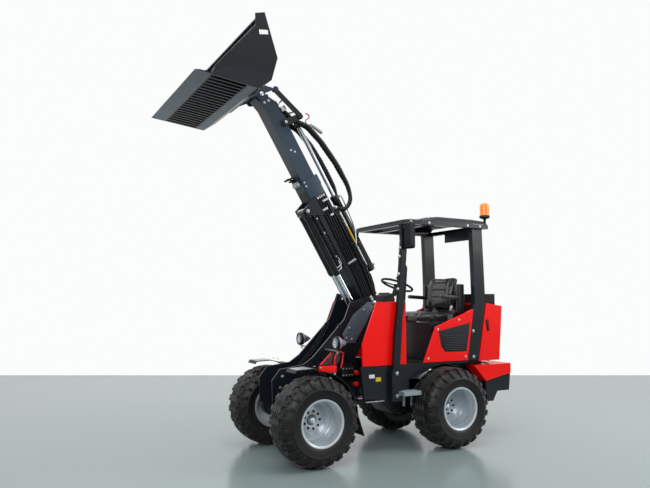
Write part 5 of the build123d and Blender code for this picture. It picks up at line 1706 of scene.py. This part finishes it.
@made(zinc, "rear_frame")
def seat_steel(bm):
    """The seat's slide rails, recliner discs and belt buckle."""
    disc = mm(0, 0, 26, 0, 28, 3, 26, 8, 10, 10, 0, 10)
    for side in both:
        add_block(bm, by_seat(-0.070, side * 0.165, 0.0085), (0.400, 0.028, 0.013), None, 0.002)
        add_lathe(bm, disc, by_seat(-0.305, side * 0.232, 0.110), left * side, 28)
    add_block(bm, by_seat(-0.255, 0.256, 0.145), (0.030, 0.014, 0.060), pitched(-0.3), 0.004)


@made(hose_rubber, "rear_frame")
def seat_belt(bm):
    """The belt lies folded over the cushion."""
    count = 26
    section = ((-1, 0), (1, 0), (1, 0.0022), (-1, 0.0022))
    rows = []
    for k in range(count + 1):
        f = k / count
        rise = 0.1190 + 0.010 * math.sin(math.pi * f) ** 0.5
        if 0.04 < f < 0.96:
            rise += 0.018 * (abs(f - 0.5) * 2) ** 4
        x = -0.205 + 0.03 * math.sin(f * 5)
        rows.append([bm.verts.new(by_seat(x + w * 0.024, 0.230 - 0.46 * f, rise + d)) for w, d in section])
    add_band_across(bm, rows)


@made(black_plastic, "rear_frame")
def cab_controls(bm):
    """A joystick with its boot, pedals and switches."""
    foot = by_seat(0.065, -0.300, 0)
    folds = mm(40, 0, 36, 12, 30, 14, 27, 26, 21, 28, 18, 42)
    stick = mm(11, 46, 8, 110, 0, 110)
    grip = mm(0, 100, 16, 104, 19, 125, 17, 150, 22, 185, 21, 205)
    add_lathe(bm, folds + stick, foot, up, 28)
    add_lathe(bm, grip + mm(12, 215, 0, 217), foot, (0.08, 0, 1), 28)
    for y in (-0.150, 0.150):
        add_block(bm, at(-0.520, y, deck_z + 0.060), (0.012, 0.085, 0.130), pitched(-0.7), 0.004)
    for k in range(5):
        switch = at(-0.472, -0.075 + k * 0.037, deck_z + 0.6905)
        add_block(bm, switch, (0.026, 0.020, 0.008), pitched(0.35), 0.002)


@made(rubber, "rear_frame")
def floor_mat(bm):
    for k in range(16):
        add_block(bm, at(-0.750 + k * 0.019, 0, deck_z - 0.0015), (0.009, 0.700, 0.004), None, 0.001)


@made(black_plastic, "rear_frame")
def roof_trim(bm):
    """A dark rim round the roof's front window."""
    z = roof_low.z - 0.0015
    front = roof_high.x - 0.004
    half = roof_high.y - 0.004
    points = [at(roof_split, half, z), at(front, half, z), at(front, -half, z), at(roof_split, -half, z)]
    add_hose(bm, points, [0.05, 0.05], 0.03, 0.0045, 10)


@made(zinc, "rear_frame", sides=both)
def roof_bolts(bm, side):
    rail = high("roof_frame")
    for x in (rear_axle.x - 0.470, rear_axle.x - 0.300, rear_axle.x + 0.200, articulation.x - 0.330):
        add_bolt(bm, at(x, side * rail.y, rail.z - 0.021), left * side, 0.008, 0.006)


@made(panel_grey, "rear_frame")
def intake_slots(bm):
    """Slots in the sides and rear of the air intake behind the seat."""
    box_low, box_high = low("intake_box"), high("intake_box")
    box_y = 0.120
    slot_levels = [box_low.z + 0.045 + k * 0.018 for k in range(4)]
    for side in both:
        for z in slot_levels:
            centre = at((box_low.x + box_high.x) / 2, box_y + side * 0.2402, z)
            add_block(bm, centre, (0.095, 0.003, 0.009), None, 0.001)
    for z in slot_levels:
        add_block(bm, at(box_low.x - 0.001, box_y, z), (0.003, 0.420, 0.009), None, 0.001)


# ---------------------------------------------------------------- floor, backdrop, light and camera
def background_rays(tree):
    """1 for a ray from the camera, a mirror or a pane, which sees the plain background."""
    rays = add_node(tree, "LightPath")
    last = rays.outputs["Is Camera Ray"]
    for kind in ("Is Glossy Ray", "Is Transmission Ray"):
        either = add_node(tree, "Math")
        either.operation = "MAXIMUM"
        link(tree, last, either.inputs[0])
        link(tree, rays.outputs[kind], either.inputs[1])
        last = either.outputs["Value"]
    return last


def mix_seen(tree, lit, seen, surface):
    """Shows seen to the rays of background_rays, and lit to all others."""
    mix = add_node(tree, "MixShader")
    link(tree, background_rays(tree), mix.inputs["Fac"])
    link(tree, lit, mix.inputs[1])
    link(tree, seen, mix.inputs[2])
    link(tree, mix.outputs["Shader"], surface)


def stage_finish(name, code, rough, seen=None, specular=0.5):
    """A plain stage surface that the camera sees at a set brightness where seen is given."""
    mat, tree, shader = new_material(name)
    set_inputs(shader, Base_Color=srgb(code), Roughness=rough, Specular_IOR_Level=specular)
    if seen:
        glow = add_node(tree, "Emission", Color=srgb(seen))
        surface = tree.nodes["Material Output"].inputs["Surface"]
        mix_seen(tree, shader.outputs["BSDF"], glow.outputs["Emission"], surface)
    return mat


def add_stage(name, corners, finish):
    mesh = bpy.data.meshes.new(name)
    mesh.from_pydata(corners, [], [(0, 1, 2, 3)])
    obj = in_scene(name, mesh)
    mesh.materials.append(finish)
    return obj


camera_place = at(3.151, 5.389, 1.451)
camera_aim = at(-0.475, -0.876, 0.0).normalized()
camera_rise = math.tan(math.radians(5.08))
wall_reach = 11.9
wall_centre = camera_place + camera_aim * wall_reach
wall_centre.z = 0
wall_side = at(camera_aim.y, -camera_aim.x, 0)

add_stage(
    "floor",
    [wall_centre + wall_side * x - camera_aim * back for x, back in ((-40, 0), (-40, 60), (40, 60), (40, 0))],
    stage_finish("floor_finish", "879595", 0.20, specular=0.4),
)
wall = add_stage(
    "backdrop",
    [wall_centre + wall_side * x + up * z for x, z in ((-30, -0.01), (30, -0.01), (30, 16), (-30, 16))],
    stage_finish("backdrop_finish", "f4f7f7", 0.9, "fbfcfc"),
)
wall.visible_camera = False

world = bpy.data.worlds.new("studio")
bpy.context.scene.world = world
world.use_nodes = True
tree = world.node_tree
ground = set_inputs(tree.nodes["Background"], Color=srgb("eef2f4"), Strength=0.26)
sky = add_node(tree, "Background", Color=srgb("fbfcfc"))
surface = tree.nodes["World Output"].inputs["Surface"]
mix_seen(tree, ground.outputs["Background"], sky.outputs["Background"], surface)

# name, place, aim, size and power
for name, place, aim, size, power in (
    ("overhead", (0.6, 1.0, 7.0), (-0.2, 0, 1.2), (7, 5), 330),
    ("front_left", (5.0, 5.5, 4.6), (0, 0, 1.4), (4, 3), 320),
    ("rear_left", (-5.2, 4.2, 4.2), (-0.6, 0, 1.3), (3, 4), 170),
    ("far_side", (1.5, -6.0, 5.0), (0, 0, 1.5), (5, 3), 80),
):
    lamp = bpy.data.lights.new(name, "AREA")
    lamp.shape = "RECTANGLE"
    lamp.size, lamp.size_y = size
    lamp.energy = power
    lamp_obj = in_scene(name, lamp)
    lamp_obj.location = place
    lamp_obj.rotation_euler = (Vector(aim) - Vector(place)).to_track_quat("-Z", "Y").to_euler()

camera = bpy.data.cameras.new("camera")
camera.sensor_width = 36.0
camera.lens = 34.1
camera.clip_end = 100
camera_obj = in_scene("camera", camera)
camera_obj.location = camera_place
camera_obj.rotation_euler = (camera_aim + up * camera_rise).to_track_quat("-Z", "Y").to_euler()
bpy.context.scene.camera = camera_obj
bpy.context.scene.view_settings.view_transform = "Standard"
